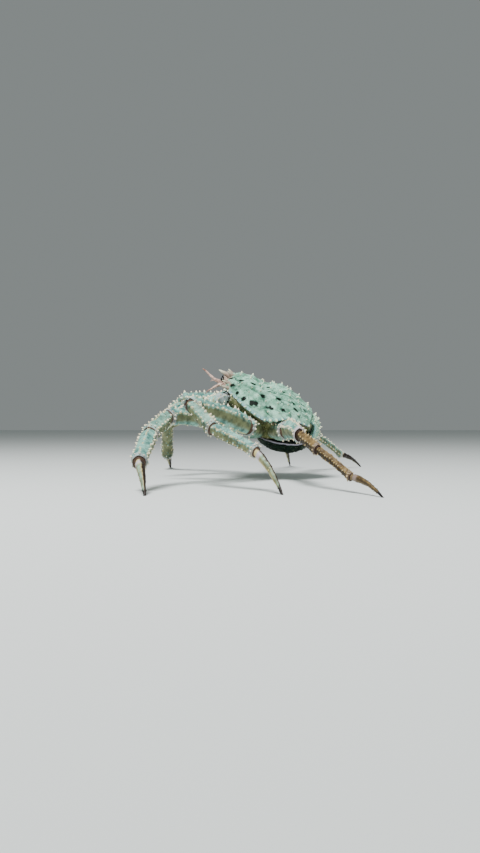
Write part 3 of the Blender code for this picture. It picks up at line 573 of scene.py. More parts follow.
def carapace(material, spine_scale):
    """The domed shield: regions, grooves, rim, spines, granules and the rostrum."""
    rows, columns, rim = 240, 200, 14
    place = np.linspace(0, 1, rows)[:, None]
    across = np.sin(np.pi * (np.linspace(0, 1, columns) - 0.5))[None, :]
    upper = shell_surface(place, across)
    normals = grid_normals(upper)
    world = in_frame(upper)
    # Fine furrows run backwards along the shell
    furrow = 1 - 2 * np.abs(noise(in_frame(upper * (0.45, 1.0, 1.0)), 7 * MM, 11))
    wave = noise(world, 9 * MM, 1) * 0.8 + noise(world, 3.5 * MM, 2) * 0.5
    wave = wave - smooth_step(0.66, 1.0, furrow) * 0.9
    upper = upper + normals * (wave * np.minimum(1, 4 * (1 - np.abs(across))))[..., None]
    spines, edge_spines = shell_spine_roots(), edge_spine_roots()
    upper = mounds(upper, normals, spines[0], spines[2] * SPINE_SLIMNESS, 1.0)
    # The rim turns under in a half round
    turn = np.linspace(0, np.pi, rim)[1:]
    under = (1 - np.cos(turn)) / 2
    y = through(HALF_WIDTH, place) * (1 - 0.05 * under) + 0.9 * np.sin(turn)
    z = through(EDGE_LEVEL, place) - SHELL_RIM * under
    right = np.stack(np.broadcast_arrays(upper[:, -1:, 0], y, z), -1)
    ring = np.concatenate((upper, right, right[:, ::-1] * (1, -1, 1)), 1)
    values = {name: np.zeros(ring.shape[:2]) for name in ("rim", "hollow", "ridge", "stripe", "under")}
    values["rim"][:, :columns] = smooth_step(0.975, 1.0, np.abs(across))
    values["rim"][:, columns:] = 1
    values["rim"][:, columns + 5 : -5] = 0.15
    # Painted shade in the low places of the relief and in the grooves
    grooves = 0.8 * groove_values(place, across)
    values["hollow"][:, :columns] = np.maximum(smooth_step(0.05, -0.95, wave), grooves)
    # The shell is flushed with pink near the rostrum and under its edge
    values["ridge"][:, :columns] = smooth_step(0.16, 0.0, place) * (0.45 + 0.5 * noise(world, 5 * MM, 13))
    values["ridge"][:, columns + 5 : -5] = 0.45
    # Further back the underside of the edge darkens to purplish brown, as painted shade under the rim
    values["stripe"][:, columns + 2 : -2] = 0.8 * smooth_step(0.36, 0.5, place)
    values["under"][:, columns + 4 : -4] = 1
    shape = Shape()
    shape.add(in_frame(ring), spot=spot_values(ring), **values)
    for (roots, directions, lengths), flare in ((spines, 2.1), (edge_spines, 1.25)):
        lengths = lengths * spine_scale
        add_body_spines(shape, roots, directions, lengths, lengths * SPINE_SLIMNESS, flare=flare, pale=0.7)
    shell_granules(shape)
    for root, direction, length, radius in ROSTRUM:
        for sign in with_twins(root[1]):
            side = (1, sign, 1)
            add_body_spines(shape, np.multiply(root, side), np.multiply(direction, side), length, radius,
                            sides=ROSTRUM_SIDES, bend=-0.05, flare=1.1, pale=0.52, ridge=1.0)
    place_piece(shape, "carapace_plate", material, "carapace")


def shell_granules(shape):
    """Scatters fine granules over the carapace, but not on its spots."""
    count = SHELL_GRANULES
    place, aside = draw.uniform(0.02, 0.99, count), draw.uniform(-0.96, 0.96, count)
    size = draw.uniform(0.5, 1.4, count)
    roots = shell_surface(place, aside)
    clear = spot_values(roots) < SPOT_CLEAR
    roots, out, size = roots[clear], shell_directions(place, aside)[clear], size[clear]
    spot = spot_values(roots)
    add_body_spines(shape, roots, out, size, size * 0.66, sides=GRANULE_SIDES, pale=0.35, spot=spot)


# Thorax and abdomen


def thorax(material):
    """The underbody: side walls with sutures between the leg roots, cheeks and breastplate."""
    rows, half_columns, cap_rows = 110, 44, 15
    stations, t = np.linspace(0, 1, len(THORAX_SIDE)), np.linspace(0, 1, half_columns)
    share_width, share_depth = (through(list(zip(stations, column)), t) for column in zip(*THORAX_SIDE))
    place = np.linspace(THORAX_FRONT, THORAX_REAR, rows)[:, None]
    top = through(EDGE_LEVEL, place) - SHELL_RIM + 0.6
    y = through(THORAX_WIDTH, place) * share_width
    z = top + (through(THORAX_DEPTH, place) - top) * share_depth
    right = np.stack(np.broadcast_arrays(SHELL_FRONT + SHELL_LENGTH * place, y, z), -1)
    ring = np.concatenate((right * (1, -1, 1), right[:, -2::-1]), 1)
    normals = grid_normals(ring)  # they point inwards
    level = ring[..., 2]
    # Sutures run down the walls between the legs, and a swelling stands behind each side of the mouth
    suture = sum(np.exp(-(((ring[..., 0] - at) / SUTURE_WIDTH) ** 2)) for at in SUTURES)
    suture = suture * smooth_step(-14, -24, level)
    gap = (np.stack((ring[..., 0], np.abs(ring[..., 1]), level), -1) - CHEEK) / CHEEK_SPREAD
    lift = 4.0 * np.exp(-(gap**2).sum(-1)) - 1.3 * suture + 0.4 * noise(in_frame(ring), 6 * MM, 3)
    under = np.clip(0.25 + smooth_step(-10, -40, level), 0, 1)
    ring = ring - normals * lift[..., None]
    # The last part of the thorax rounds off into the fold of the tail
    turn = np.radians(np.linspace(6, 90, cap_rows))[:, None, None]
    middle = np.array((ring[-1, :, 0].mean(), 0, REAR_LEVEL))
    cap = middle + (ring[-1] - middle) * np.cos(turn) + np.array((REAR_BULGE, 0, 0)) * np.sin(turn)
    cap[..., 1] *= np.linspace(0.95, 0.6, cap_rows)[:, None]
    shape = Shape()
    shape.add(
        in_frame(np.concatenate((ring, cap))),
        under=np.concatenate((under, np.ones(cap.shape[:2]))),
        spot=np.concatenate((0.35 * suture, np.zeros(cap.shape[:2]))),
    )
    face(shape, ring[0])
    i = draw.integers(4, rows - 4, THORAX_GRANULES)
    j = draw.integers(2, ring.shape[1] - 2, THORAX_GRANULES)
    out = ring[i, j] * (0, 1, 1) - (0, 0, THORAX_MIDDLE)
    size = draw.uniform(0.5, 1.3, THORAX_GRANULES)
    add_body_spines(shape, ring[i, j], out, size, size * 0.5, sides=GRANULE_SIDES, under=0.5)
    # A ring of spines stands on each swelling
    angles = np.linspace(0, 2 * np.pi, CHEEK_SPINES, endpoint=False)
    forward, rise = np.cos(angles), np.sin(angles)
    roots = np.stack((8 * forward, 3 - 2 * np.abs(forward), 7 * rise), -1) + CHEEK
    out = np.stack((0.8 * forward, np.full(CHEEK_SPINES, 0.9), 0.8 * rise), -1)
    for side in SIDES.values():
        add_body_spines(shape, roots * (1, side, 1), out * (1, side, 1), 3.2, 1.1, under=0.4, rim=0.3)
    place_piece(shape, "thorax_walls", material, "thorax")


def face(shape, ring):
    """Adds the front of the head: cheeks, and a raised frame with bristles round the sunken mouth, with
    painted shade in it.
    """
    outline = np.concatenate((ring, np.linspace(ring[-1], ring[0], 26)[1:-1]))
    shares = np.concatenate((np.linspace(0.995, 0.1, 40), (0.05, 0.01)))[:, None]
    middle = np.array((ring[:, 0].mean(), 0, FACE_LEVEL))
    points = middle + (outline - middle) * shares[..., None]
    aside, level = np.abs(points[..., 1]), points[..., 2]
    tall = smooth_step(-7, -11, level) * smooth_step(-38, -31, level)
    frame_line = np.exp(-(((aside - FACE_FRAME) / 1.3) ** 2)) * tall
    mouth_hollow = np.exp(-((aside / (0.65 * FACE_FRAME)) ** 4)) * tall
    cheek = np.exp(-(((aside - 1.7 * FACE_FRAME) / 4.0) ** 2) - ((level + 17) / 8) ** 2)
    wrinkle = noise(in_frame(points), 4 * MM, 14)
    lift = 2.6 * (1 - shares**2) + 1.5 * frame_line - 1.6 * mouth_hollow + 1.8 * cheek + 0.35 * wrinkle
    points[..., 0] -= lift * smooth_step(1.0, 0.93, shares)
    # Painted shade in the sunken mouth and in the low places of the wrinkles
    hollow = np.clip(0.9 * mouth_hollow + smooth_step(0.0, -0.8, wrinkle) * 0.5, 0, 1)
    shape.add(in_frame(points), under=0.75 - 0.5 * cheek, ridge=0.55 * frame_line, hollow=hollow)
    ones = np.ones(FACE_BRISTLES)
    for side in SIDES.values():
        roots = np.stack((ones * (middle[0] - 3.0), side * draw.normal(FACE_FRAME, 0.6, FACE_BRISTLES),
                          draw.uniform(-32, -11, FACE_BRISTLES)), -1)
        out = np.stack((-ones, side * draw.uniform(-0.9, 0.1, FACE_BRISTLES),
                        draw.uniform(-0.7, 0.2, FACE_BRISTLES)), -1)
        add_body_spines(shape, roots, out, 3.4, 0.2, sides=BRISTLE_SIDES, rim=0.4)
        roots = np.stack((np.full(FACE_TEETH, middle[0] - 2.4),
                          side * (1.75 * FACE_FRAME + draw.uniform(-3, 3, FACE_TEETH)),
                          np.linspace(-25, -11, FACE_TEETH)), -1)
        out = np.tile((-1.0, side * 0.35, 0.1), (FACE_TEETH, 1))
        add_body_spines(shape, roots, out, 2.8, 0.95, under=0.4, rim=0.3)


def abdomen_plate(solid, first, last, material, plates, spine_rows):
    """A stretch of the abdomen: overlapping plates with a furrow on each side of their middle row.

    first and last are its stations, and plates how many plates there are to a station.
    """
    numbers = np.arange(len(ABDOMEN))
    rows, columns = 34 * (last - first), 96
    index = np.linspace(first, last, rows)
    x, z, width, thick, curl = (through(list(zip(numbers, column)), index) for column in zip(*ABDOMEN))
    along = unit(np.stack((np.gradient(x), np.zeros(rows), np.gradient(z)), -1))
    outer = np.stack((-along[:, 2], np.zeros(rows), along[:, 0]), -1)
    middle = np.stack((x, np.zeros(rows), z), -1)

    def places(i, aside, reach):
        """Points at rows of the middle line, moved aside and outwards."""
        return middle[i] + ASIDE * np.asarray(aside)[..., None] + outer[i] * np.asarray(reach)[..., None]

    angles = 2 * np.pi * np.arange(columns) / columns
    wide, high = np.cos(angles), np.sin(angles)
    # Each plate rises towards its rear edge and steps down to the next
    phase = (((index - first) * plates) % 1)[:, None]
    step = (phase**2 - 1.3 * smooth_step(0.93, 1.0, phase)) * 1.3
    furrow = -1.1 * np.exp(-(((np.abs(wide) - 0.42) / 0.05) ** 2))
    outside = smooth_step(-0.2, 0.5, high)
    thick, curl, width = thick[:, None], curl[:, None], width[:, None]
    every = np.arange(rows)[:, None]
    ring = in_frame(places(every, width * wide, thick * high * 0.93 - curl * wide**2))
    lift = (step + furrow) * outside + noise(ring, 5 * MM, 4) * 0.45 + noise(ring, 2.4 * MM, 9) * 0.2
    shape = Shape()
    shape.add(
        ring + in_frame_directions(outer)[:, None] * (lift * MM)[..., None],
        # The pale rim lies on the inner half of the margin
        rim=smooth_step(0.84, 0.93, np.abs(wide)) * smooth_step(0.12, -0.06, high),
        spot=0.6 * smooth_step(0.9, 0.97, phase) * outside,
    )
    for share, count, length in spine_rows:
        i = (np.linspace(0.08, 0.94, count) * (rows - 1)).astype(int)
        reach = thick[i, 0] * math.sqrt(1 - share**2) * 0.9 - curl[i, 0] * share**2
        for side in SIDES.values():
            size = length * draw.uniform(0.7, 1.2, count)
            out = outer[i] + ASIDE * (side * share * 0.6)
            add_body_spines(shape, places(i, width[i, 0] * share * side, reach), out, size, size * 0.36)
    i, a = draw.integers(2, rows - 2, ABDOMEN_GRANULES), draw.uniform(0.1, np.pi - 0.1, ABDOMEN_GRANULES)
    roots = places(i, width[i, 0] * np.cos(a), thick[i, 0] * np.sin(a) * 0.93 - curl[i, 0] * np.cos(a) ** 2)
    size = draw.uniform(0.6, 1.5, ABDOMEN_GRANULES)
    add_body_spines(shape, roots, outer[i], size, size * 0.7, sides=GRANULE_SIDES)
    place_piece(shape, solid + "_plates", material, solid)


# Limbs


class Segment:
    """A length of limb between two joints, with a bowed middle and a ridged oval section."""

    def __init__(self, start, end, outline, radius, bow, thinness, ridges):
        self.start, self.end, self.outline = start, end, outline
        self.radius, self.thinness, self.ridges = radius * MM, thinness, ridges
        self.length = np.linalg.norm(end - start)
        self.axis = unit(end - start)
        self.side = unit(np.cross(self.axis, UP))
        self.top = np.cross(self.side, self.axis)
        self.bow = bow * self.length
        self.planes = []

    def along(self, t):
        """The direction of the middle line at places."""
        t = np.asarray(t, float)[..., None]
        return unit(self.axis * self.length + self.top * self.bow * 4 * (1 - 2 * t))

    def centre(self, t):
        """Points of the middle line."""
        t = np.asarray(t, float)[..., None]
        return self.start + (self.end - self.start) * t + self.top * self.bow * 4 * t * (1 - t)

    def outward(self, t, angle):
        """The radius vectors of the section at places, towards angles from the side."""
        top = np.cross(self.side, self.along(t))
        a = np.radians(angle)
        swell = 1.0
        for ridge in self.ridges:
            gap = (angle - ridge + 180) % 360 - 180
            swell = swell + 0.05 * np.exp(-((gap / 13.0) ** 2))
        reach = (through(self.outline, np.clip(t, 0, 1)) * self.radius * swell)[..., None]
        return (self.side * (np.cos(a) * self.thinness)[..., None] + top * np.sin(a)[..., None]) * reach

    def surface(self, t, angle, share=1.0):
        """Points of the surface. Near an end they turn to lie on that end's joint plane."""
        t, angle = np.broadcast_arrays(np.asarray(t, float), np.asarray(angle, float))
        centre, along = self.centre(t), self.along(t)
        points = centre + self.outward(t, angle) * np.asarray(share)[..., None]
        for normal, distance in zip(self.planes, (t, 1 - t)):
            pull = np.maximum(0, 1 - np.abs(distance) * self.length / BEND_ZONE)
            offset = ((centre - points) @ normal) / (along @ normal)
            points = points + along * (offset * pull)[..., None]
        return points


def set_planes(segments):
    """Gives each segment the normals of the two joint planes that it shares with its neighbours."""
    directions = [segments[0].axis]
    for segment in segments:
        directions += [segment.along(0.0), segment.along(1.0)]
    directions.append(directions[-1])
    normals = [unit(before + after) for before, after in zip(directions[::2], directions[1::2])]
    for segment, first, last in zip(segments, normals, normals[1:]):
        segment.planes = [first, last]


def limb_spine_roots(segment, rows):
    """Roots, directions, lengths and angles of the spines in rows along a segment."""
    places, angles, lengths = [], [], []
    for angle, count, first, last, length in rows:
        places.append(scattered(count, first, last, 0.015))
        angles.append(angle + draw.uniform(-9, 9, count))
        lengths.append(length * draw.uniform(0.65, 1.2, count))
    places, angles, lengths = np.concatenate(places), np.concatenate(angles), np.concatenate(lengths)
    roots = segment.surface(places, angles)
    out = unit(segment.outward(places, angles)) + segment.axis * 0.32
    return roots, unit(out), lengths, angles


def underside(angles, belly=0.8):
    """How olive the limb is at angles round its section. belly is how far that fades again lowest down."""
    height = np.sin(np.radians(angles))
    return smooth_step(0.62, 0.0, height) * (1 - belly * smooth_step(-0.3, -0.9, height))


def ridge_line(angles, ridges):
    """1 on the limb's ridges and 0 between them, from the angle round its section."""
    value = np.zeros(np.shape(angles))
    for ridge in ridges:
        gap = (angles - ridge + 180) % 360 - 180
        value = np.maximum(value, np.exp(-((gap / 11.0) ** 2)))
    return value


def cuff_spines(shape, segment, spine_scale):
    """Adds the ring of short spines round a segment's far end."""
    angles = np.linspace(0, 360, CUFF_SPINES, endpoint=False) + draw.uniform(-7, 7, CUFF_SPINES)
    places = 1 - draw.uniform(1.6, 3.4, CUFF_SPINES) * MM / segment.length
    size = draw.uniform(2.2, 3.8, CUFF_SPINES) * spine_scale
    out = unit(segment.outward(places, angles)) + segment.axis * 0.7
    add_spines(shape, segment.surface(places, angles), out, size, size * SPINE_SLIMNESS, rim=0.5)


def membrane(shape, before, segment, reach, pale):
    """Adds the folded skin from inside the cuff before to this segment. pale is 1 for bluish white skin."""
    rings, columns, folds = 16, 48, 7
    angles = 360 * np.arange(columns) / columns
    out = unit(segment.outward(np.zeros(columns), angles))
    top = np.cross(before.side, before.along(1.0))
    matched = np.degrees(np.arctan2(out @ top, out @ before.side))
    inner = before.surface(1 - 0.9 * MM / before.length, matched, 0.885)
    outer = segment.surface(reach * MM / segment.length, angles, 0.985)
    step = np.linspace(0, 1, rings)[:, None]
    fold = np.sin(folds * np.pi * step)
    swell = 0.5 * np.sin(np.pi * step) + 0.22 * fold
    points = inner + (outer - inner) * step[..., None] + out * (swell * MM)[..., None]
    # Painted shade in the sunken parts of the folds
    hollow = 0.8 * smooth_step(0.1, -0.8, fold)
    shape.add(points, [tube_faces(rings, columns)], seam=1 - pale, rim=pale, hollow=hollow)


def segment_shape(segment, rows, spine_scale, ending="cuff", before=None, cup=False, dull=0.0, belly=0.8,
                  pale_cuff=0.5):
    """The shape of a limb segment: a hollowed cuff, ridges, spines, granules and the skin of its first joint,
    with painted shade in its low places, near its first joint and inside its cuff.

    ending is cuff, palm or foot, dull is how far the underside's olive covers the rest, belly how far it
    fades lowest down, and pale_cuff how lilac the cuff is. A cup has a dark edge over pale skin.
    """
    count, columns = max(40, int(segment.length / (0.9 * MM))), 48
    head, tail = np.array(HEAD_END), np.array(TAIL_ENDS[ending])
    lip = CUFF_LIP / segment.length
    t = np.concatenate((lip * head[:, 0], np.linspace(0, 1, count), 1 + lip * tail[:, 0]))[:, None]
    share = np.concatenate((head[:, 1], np.ones(count), tail[:, 1]))[:, None]
    angles = 360 * np.arange(columns) / columns
    points = segment.surface(t, angles, share)
    normals = unit(points - segment.centre(t))
    bump = noise(points, 5 * MM, 5) * 0.42 + noise(points, 2.2 * MM, 6) * 0.2
    body = slice(len(head), len(head) + count)
    points[body] += normals[body] * (bump[body] * MM)[..., None]
    shape = Shape()
    if rows:
        roots, directions, lengths, around = limb_spine_roots(segment, rows)
        lengths = lengths * spine_scale
        radii = lengths * SPINE_SLIMNESS
        points[body] = mounds(points[body], normals[body], roots, radii * MM, 0.8)
        add_spines(shape, roots, directions, lengths, radii, under=underside(around) * 0.4, ridge=0.15)
    # Distances from the two ends, in mm
    start, end = t * segment.length / MM, (1 - t) * segment.length / MM
    wander = noise(points, 4 * MM, 8)
    values = {
        "under": np.maximum(underside(angles, belly), dull) * np.ones(t.shape),
        "ridge": ridge_line(angles, segment.ridges) * (0.5 + 0.5 * wander),
        "seam": smooth_step(1.0, 0.2, start),
        # Painted shade in the low places of the relief and within 7 mm of the first joint
        "hollow": np.clip(0.6 * smooth_step(0.0, -0.5, bump) + 0.6 * smooth_step(7, 2, start), 0, 1),
    }
    if ending == "cuff":
        values["rim"] = smooth_step(10 * pale_cuff, 0.5, end + 3.0 * wander) * pale_cuff
        # Inside the cuff's turned-in end is olive under full painted shade
        values["hollow"][body.stop + 2 :] = 1
        values["under"][body.stop + 2 :] = 1
        cuff_spines(shape, segment, spine_scale)
    if cup:
        values["rim"] = smooth_step(18, 10, start + 4.0 * wander) * 0.45
        values["stripe"] = smooth_step(3.5, 1.0, end + 1.5 * wander) * 0.8
        values["under"] *= smooth_step(8, 18, start)
        values["hollow"] *= 0.3 + 0.7 * smooth_step(8, 18, start)
    if ending == "foot":
        # A yellow neck, a whitish ring, then olive down to the dark horny point, darker on the side that faces
        # the rear
        behind = smooth_step(-0.15, 0.25, unit(segment.outward(t, angles))[..., 0] + 0.2 * wander)
        values["seam"] = smooth_step(2.0, 1.0, start)
        values["ridge"] = np.clip(values["ridge"] + 0.38 + smooth_step(9, 7, start), 0, 1)
        values["rim"] = smooth_step(7, 9, start) * smooth_step(19, 14, start)
        values["under"] = np.clip(values["under"] + smooth_step(9, 20, start) * 0.5, 0, 1)
        values["stripe"] = behind * smooth_step(1, 4, start)
        values["spot"] = smooth_step(0.72, 0.97, t)
    shape.add(points, **values)
    if before:
        membrane(shape, before, segment, 5.0 if cup else 2.2, 0.7 if cup else 0.0)
    limb_granules(shape, segment, ending == "foot")
    return shape


def limb_granules(shape, segment, foot):
    """Scatters fine granules over a segment. Those of a foot carry its own colours."""
    count = FOOT_GRANULES if foot else LIMB_GRANULES
    places, around = draw.uniform(0.05, 0.95, count), draw.uniform(0, 360, count)
    size = draw.uniform(0.4, 1.2, count)
    out = unit(segment.outward(places, around))
    values = {"under": underside(around)}
    if foot:
        values["ridge"] = 0.7
        values["spot"] = smooth_step(0.72, 0.97, places)
        values["stripe"] = smooth_step(-0.15, 0.25, out[:, 0])
    roots = segment.surface(places, around)
    add_spines(shape, roots, out, size, size * 0.6, sides=BRISTLE_SIDES, pale=0.35, **values)


def walking_leg(side, number, materials, spine_scale):
    """The five segments of a walking leg."""
    joints = leg_joints(side, number)
    radii = (HIP_RADIUS, *LEG_RADII[number])
    thinness = (HIP_THINNESS, *[LIMB_THINNESS[number]] * 4)
    segments = [
        Segment(start, end, outline, radius, bow, thin, ridges)
        for start, end, radius, thin, (outline, bow, ridges, _) in zip(
            joints, joints[1:], radii, thinness, LEG_PARTS.values()
        )
    ]
    set_planes(segments)
    segments[-1].planes[1] = UP
    for name, before, segment in zip(LEG_PARTS, (None, *segments), segments):
        tan = (side, number) == TAN_LEG and name in TAN_PARTS
        slot = "hind_limb" if tan else "limb"
        shape = segment_shape(
            segment,
            LEG_PARTS[name][-1],
            spine_scale * (0.72 if tan else 1.0),
            "foot" if name == "dactylus" else "cuff",
            before,
            dull=DULLNESS.get(name, 0.0),
            belly=0.8 if name in ("hip", "merus") else 0.0,
            pale_cuff=1.0 if (side, number) == TAN_LEG and name == "merus" else 0.5,
        )
        solid = f"{side}_leg{number}_{name}"
        place_piece(shape, solid + "_shell", materials[slot], solid)


Curve = namedtuple("Curve", "centre along aside top radius")


def tube(shape, points, radii, across, thinness=1.0, columns=24, rings=None, **values):
    """Adds a curved tapering tube through points, and gives its curve, point by point.

    rings is the spacing of its fine joints, in mm. A value may be a function of the share of the way along.
    """
    points = np.asarray(points, float)
    far = np.concatenate(([0], np.cumsum(np.linalg.norm(np.diff(points, axis=0), axis=1))))
    count = max(20, int(far[-1] / TUBE_STEP))
    t, share = np.linspace(0, far[-1], count), np.linspace(0, 1, count)
    centre = np.stack([through(list(zip(far, column)), t) for column in points.T], -1)
    radius = through(list(zip(far, radii)), t)
    for name, value in values.items():
        values[name] = np.reshape(value(share) if callable(value) else value, (-1, 1))
    if rings:
        # The joint between two rings is pinched in and holds a darker line
        joint = np.exp(-(((((t / (rings * MM)) % 1) - 0.5) / 0.12) ** 2))
        radius = radius * (1 - 0.16 * joint)
        values["hollow"] = joint[:, None]
    along = unit(np.gradient(centre, axis=0))
    aside = unit(across - along * (along @ across)[:, None])
    top = np.cross(aside, along)
    angles = 2 * np.pi * np.arange(columns) / columns
    ring = aside[:, None] * (np.cos(angles) * thinness)[:, None] + top[:, None] * np.sin(angles)[:, None]
    shape.add(centre[:, None] + ring * radius[:, None, None], **values)
    return Curve(centre, along, aside, top, radius)


def finger(shape, palm, length, outline, inner):
    """Adds a claw finger with blunt teeth on its inner edge. inner is 1 where that edge is the upper one."""
    axis = palm.along(1.0)
    top = np.cross(palm.side, axis)
    place, height, radii = np.array(outline).T
    reach = place * np.where(place > 0, length, palm.radius)
    points = palm.end + axis * reach[:, None] + top * (height * palm.radius)[:, None]
    curve = tube(shape, points, radii * palm.radius, palm.side, 0.8, ridge=0.35, under=0.9,
                 spot=lambda share: 0.8 * smooth_step(0.7, 0.95, share))
    last, up = len(curve.centre) - 1, curve.top * inner
    i = (np.linspace(0.3, 0.93, FINGER_TEETH) * last).astype(int)
    size = curve.radius[i] / MM
    roots = curve.centre[i] + up[i] * (size * 0.85 * MM)[:, None]
    add_spines(shape, roots, up[i], size * 0.7, size * 0.36, tip=0.0, rim=0.9)
    j = (draw.uniform(0.1, 0.8, FINGER_BRISTLES) * last).astype(int)
    out = palm.side * draw.choice((-1, 1), FINGER_BRISTLES)[:, None]
    out = unit(out - up[j] * draw.uniform(0, 1, FINGER_BRISTLES)[:, None])
    roots = curve.centre[j] + out * (curve.radius[j] * 0.8)[:, None]
    add_spines(shape, roots, out + axis * 0.9, 2.2, 0.35, sides=BRISTLE_SIDES)


def claw(side, material, spine_scale):
    """A claw limb with its palm, fixed finger and moving finger."""
    lengths = CLAW_LENGTHS[side]
    joints = chain(CLAW_HIP, CLAW_ROOT, CLAW_POSES[side], lengths, side)
    radii = (CLAW_HIP_RADIUS, *(radius * CLAW_SIZE[side] for radius in CLAW_RADII))
    segments = [
        Segment(start, end, outline, radius, 0, thin, ridges)
        for start, end, radius, (outline, thin, ridges, _) in zip(
            joints, joints[1:], radii, CLAW_PARTS.values()
        )
    ]
    set_planes(segments)
    for name, before, segment in zip(CLAW_PARTS, (None, *segments), segments):
        # The near claw's upper arm ends in a dark-edged cup over pale skin
        cup = side == "left" and name in ("merus", "carpus")
        ending = "palm" if name == "palm" else "cuff"
        shape = segment_shape(segment, CLAW_PARTS[name][-1], spine_scale, ending, before, cup)
        if name == "palm":
            finger(shape, segment, lengths[3] * MM, FIXED_FINGER, 1)
        solid = f"{side}_claw_{name}"
        place_piece(shape, solid + "_shell", material, solid)
    shape = Shape()
    finger(shape, segments[3], lengths[3] * MM, MOVING_FINGER, -1)
    place_piece(shape, f"{side}_claw_finger_shell", material, f"{side}_claw_finger")


# Head


def eye(side, material):
    """A kidney-shaped black cornea on its pale stalk."""
    forward = in_frame_directions((-1, 0.3 * SIDES[side], 0))
    root = mirrored(EYE_ROOT, side) - AHEAD * EYE_SUNK * MM
    reach, radii = np.array(EYE_OUTLINE).T * MM
    points = root + forward * (reach * EYE_REACH + EYE_SUNK * MM)[:, None]
    shape = Shape()
    tube(shape, points, radii * STALK_RADIUS, ACROSS, columns=32,
         spot=lambda share: smooth_step(0.60, 0.66, share))
    place_piece(shape, f"{side}_eye_stalk", material, f"{side}_eye")


def feelers(side, material):
    """The antenna with its jointed base, spiny scale and ringed whip, and the small antennule."""
    path, radii = in_frame(ANTENNA[side]), np.array(ANTENNA_RADII) * MM
    shape = Shape()
    tube(shape, path[:4], radii[:4] * (1, 1.05, 0.95, 0.8), ACROSS, rings=8.5, rim=0.4)
    tube(shape, path[3:], radii[3:] * (0.7, 0.75, 0.75, 0.8, 0.8), ACROSS, columns=10, rings=1.6)
    base = path[0] + (path[1] - path[0]) * 0.6
    for direction, length, radius in ANTENNA_SCALE:
        out = in_frame_directions(np.multiply(direction, (1, SIDES[side], 1)))
        add_spines(shape, base, out, length, radius)
    place_piece(shape, f"{side}_antenna_whip", material, f"{side}_antenna")
    shape = Shape()
    path, radii = mirrored(ANTENNULE, side), np.array(ANTENNULE_RADII) * MM
    tube(shape, path, radii, ACROSS, columns=12, rings=2.4, rim=0.3)
    place_piece(shape, f"{side}_antennule_whip", material, f"{side}_antennule")


def mouth(material, bone):
    """The parts between the outer mouth limbs: the front plate, the jaws and the inner mouth limbs."""
    parts, jaws, count = Shape(), Shape(), 40
    path, radii = in_frame(MOUTH_PLATE), np.array(MOUTH_PLATE_RADII) * MM
    tube(parts, path, radii, AHEAD, 0.8, rings=4.5, under=0.2, ridge=0.2)
    for side in SIDES:
        path, radii = mirrored(INNER_LIMB, side), np.array(INNER_LIMB_RADII) * MM
        limb = tube(parts, path, radii, ACROSS, 0.9, columns=18, rings=7, under=0.3)
        i = draw.integers(int(len(limb.centre) * 0.5), len(limb.centre) - 2, count)
        out = unit(limb.top[i] * draw.uniform(-1, 1, count)[:, None] + limb.along[i])
        roots = limb.centre[i] + out * (limb.radius[i] * 0.6)[:, None]
        add_spines(parts, roots, out, 2.6, 0.2, sides=BRISTLE_SIDES, ridge=0.6)
        tube(jaws, mirrored(JAW, side), np.array(JAW_RADII) * MM, ACROSS, 0.8, ridge=1.0)
    place_piece(parts, "mouth_parts", material)
    place_piece(jaws, "mouth_jaws", bone)


def mouth_leg(side, material):
    """The outer mouth limb with its fringe of bristles."""
    shape, count = Shape(), 60
    path, radii = mirrored(MOUTH_LEG, side), np.array(MOUTH_LEG_RADII) * MM
    limb = tube(shape, path, radii, ACROSS, 0.9, rings=13, under=0.3)
    i = draw.integers(int(len(limb.centre) * 0.4), len(limb.centre) - 2, count)
    out = unit(limb.top[i] * draw.uniform(-0.8, 0.8, count)[:, None] - limb.aside[i] * SIDES[side])
    roots = limb.centre[i] + out * (limb.radius[i] * 0.8)[:, None]
    add_spines(shape, roots, out + limb.along[i] * 0.8, 3.4, 0.28, sides=BRISTLE_SIDES, rim=0.5)
    place_piece(shape, f"{side}_mouth_leg_shell", material, f"{side}_mouth_leg")


# Finishes

# Patterns of the shell: size in mm, detail, roughness
SHELL_PATTERNS = {"cloud": (12, 3.0, 0.6), "grain": (1.5, 2.0, 0.7), "ragged": (6, 3.0, 0.5),
                  "stain": (24, 4.0, 0.62), "fine": (0.8, 3.0, 0.65)}
# Where each layer of the shell sets in, where it is full, and how far it covers there
SHELL_COVERS = {"patch": (0.33, 0.70, 1.0), "speck": (0.55, 0.75, 0.55), "under": (0.15, 0.95, 0.9),
                "stain": (0.54, 0.74, 0.4), "ridge": (0.25, 0.8, 0.8), "spot": (0.34, 0.72, 1.0),
                "tip": (0.2, 0.6, 1.0)}
# Tones over each finish's pale ground. The fold tone is painted shade in the folds of the joints' skin, the
# speck tone also colours the painted shade in hollows, and the shell's dark band tone under its rim is painted
# shade
SHELL_TONES = {"shade": "#64997F", "speck": "#1F4437", "under": "#8F9450", "under_shade": "#5F6A38",
               "rim": "#94BFC4", "ridge": "#A27C72", "spot": "#06140C", "tip": "#EDEFD2",
               "seam": "#A39476", "fold": "#4A3F2A", "stain": "#3F6F58", "stripe": "#4C3C40"}
LIMB_TONES = {"shade": "#3B6C66", "speck": "#1B3A33", "under": "#817F52", "under_shade": "#4E5030",
              "rim": "#C4B8C0", "ridge": "#D9C585", "spot": "#17130E", "tip": "#FFF1D0", "seam": "#5C4638",
              "fold": "#2A1A12", "stain": "#2F6470", "stripe": "#24160F"}
# The tan leg's near-black underside tones are partly painted shade, below its brown
HIND_TONES = {"shade": "#453722", "speck": "#17140D", "under": "#2E2515", "under_shade": "#17120B",
              "rim": "#8E7C74", "ridge": "#7A6A4C", "spot": "#120D0A", "tip": "#D8C292", "seam": "#3A261B",
              "fold": "#170E0A", "stain": "#5A3E1E", "stripe": "#1C120C"}
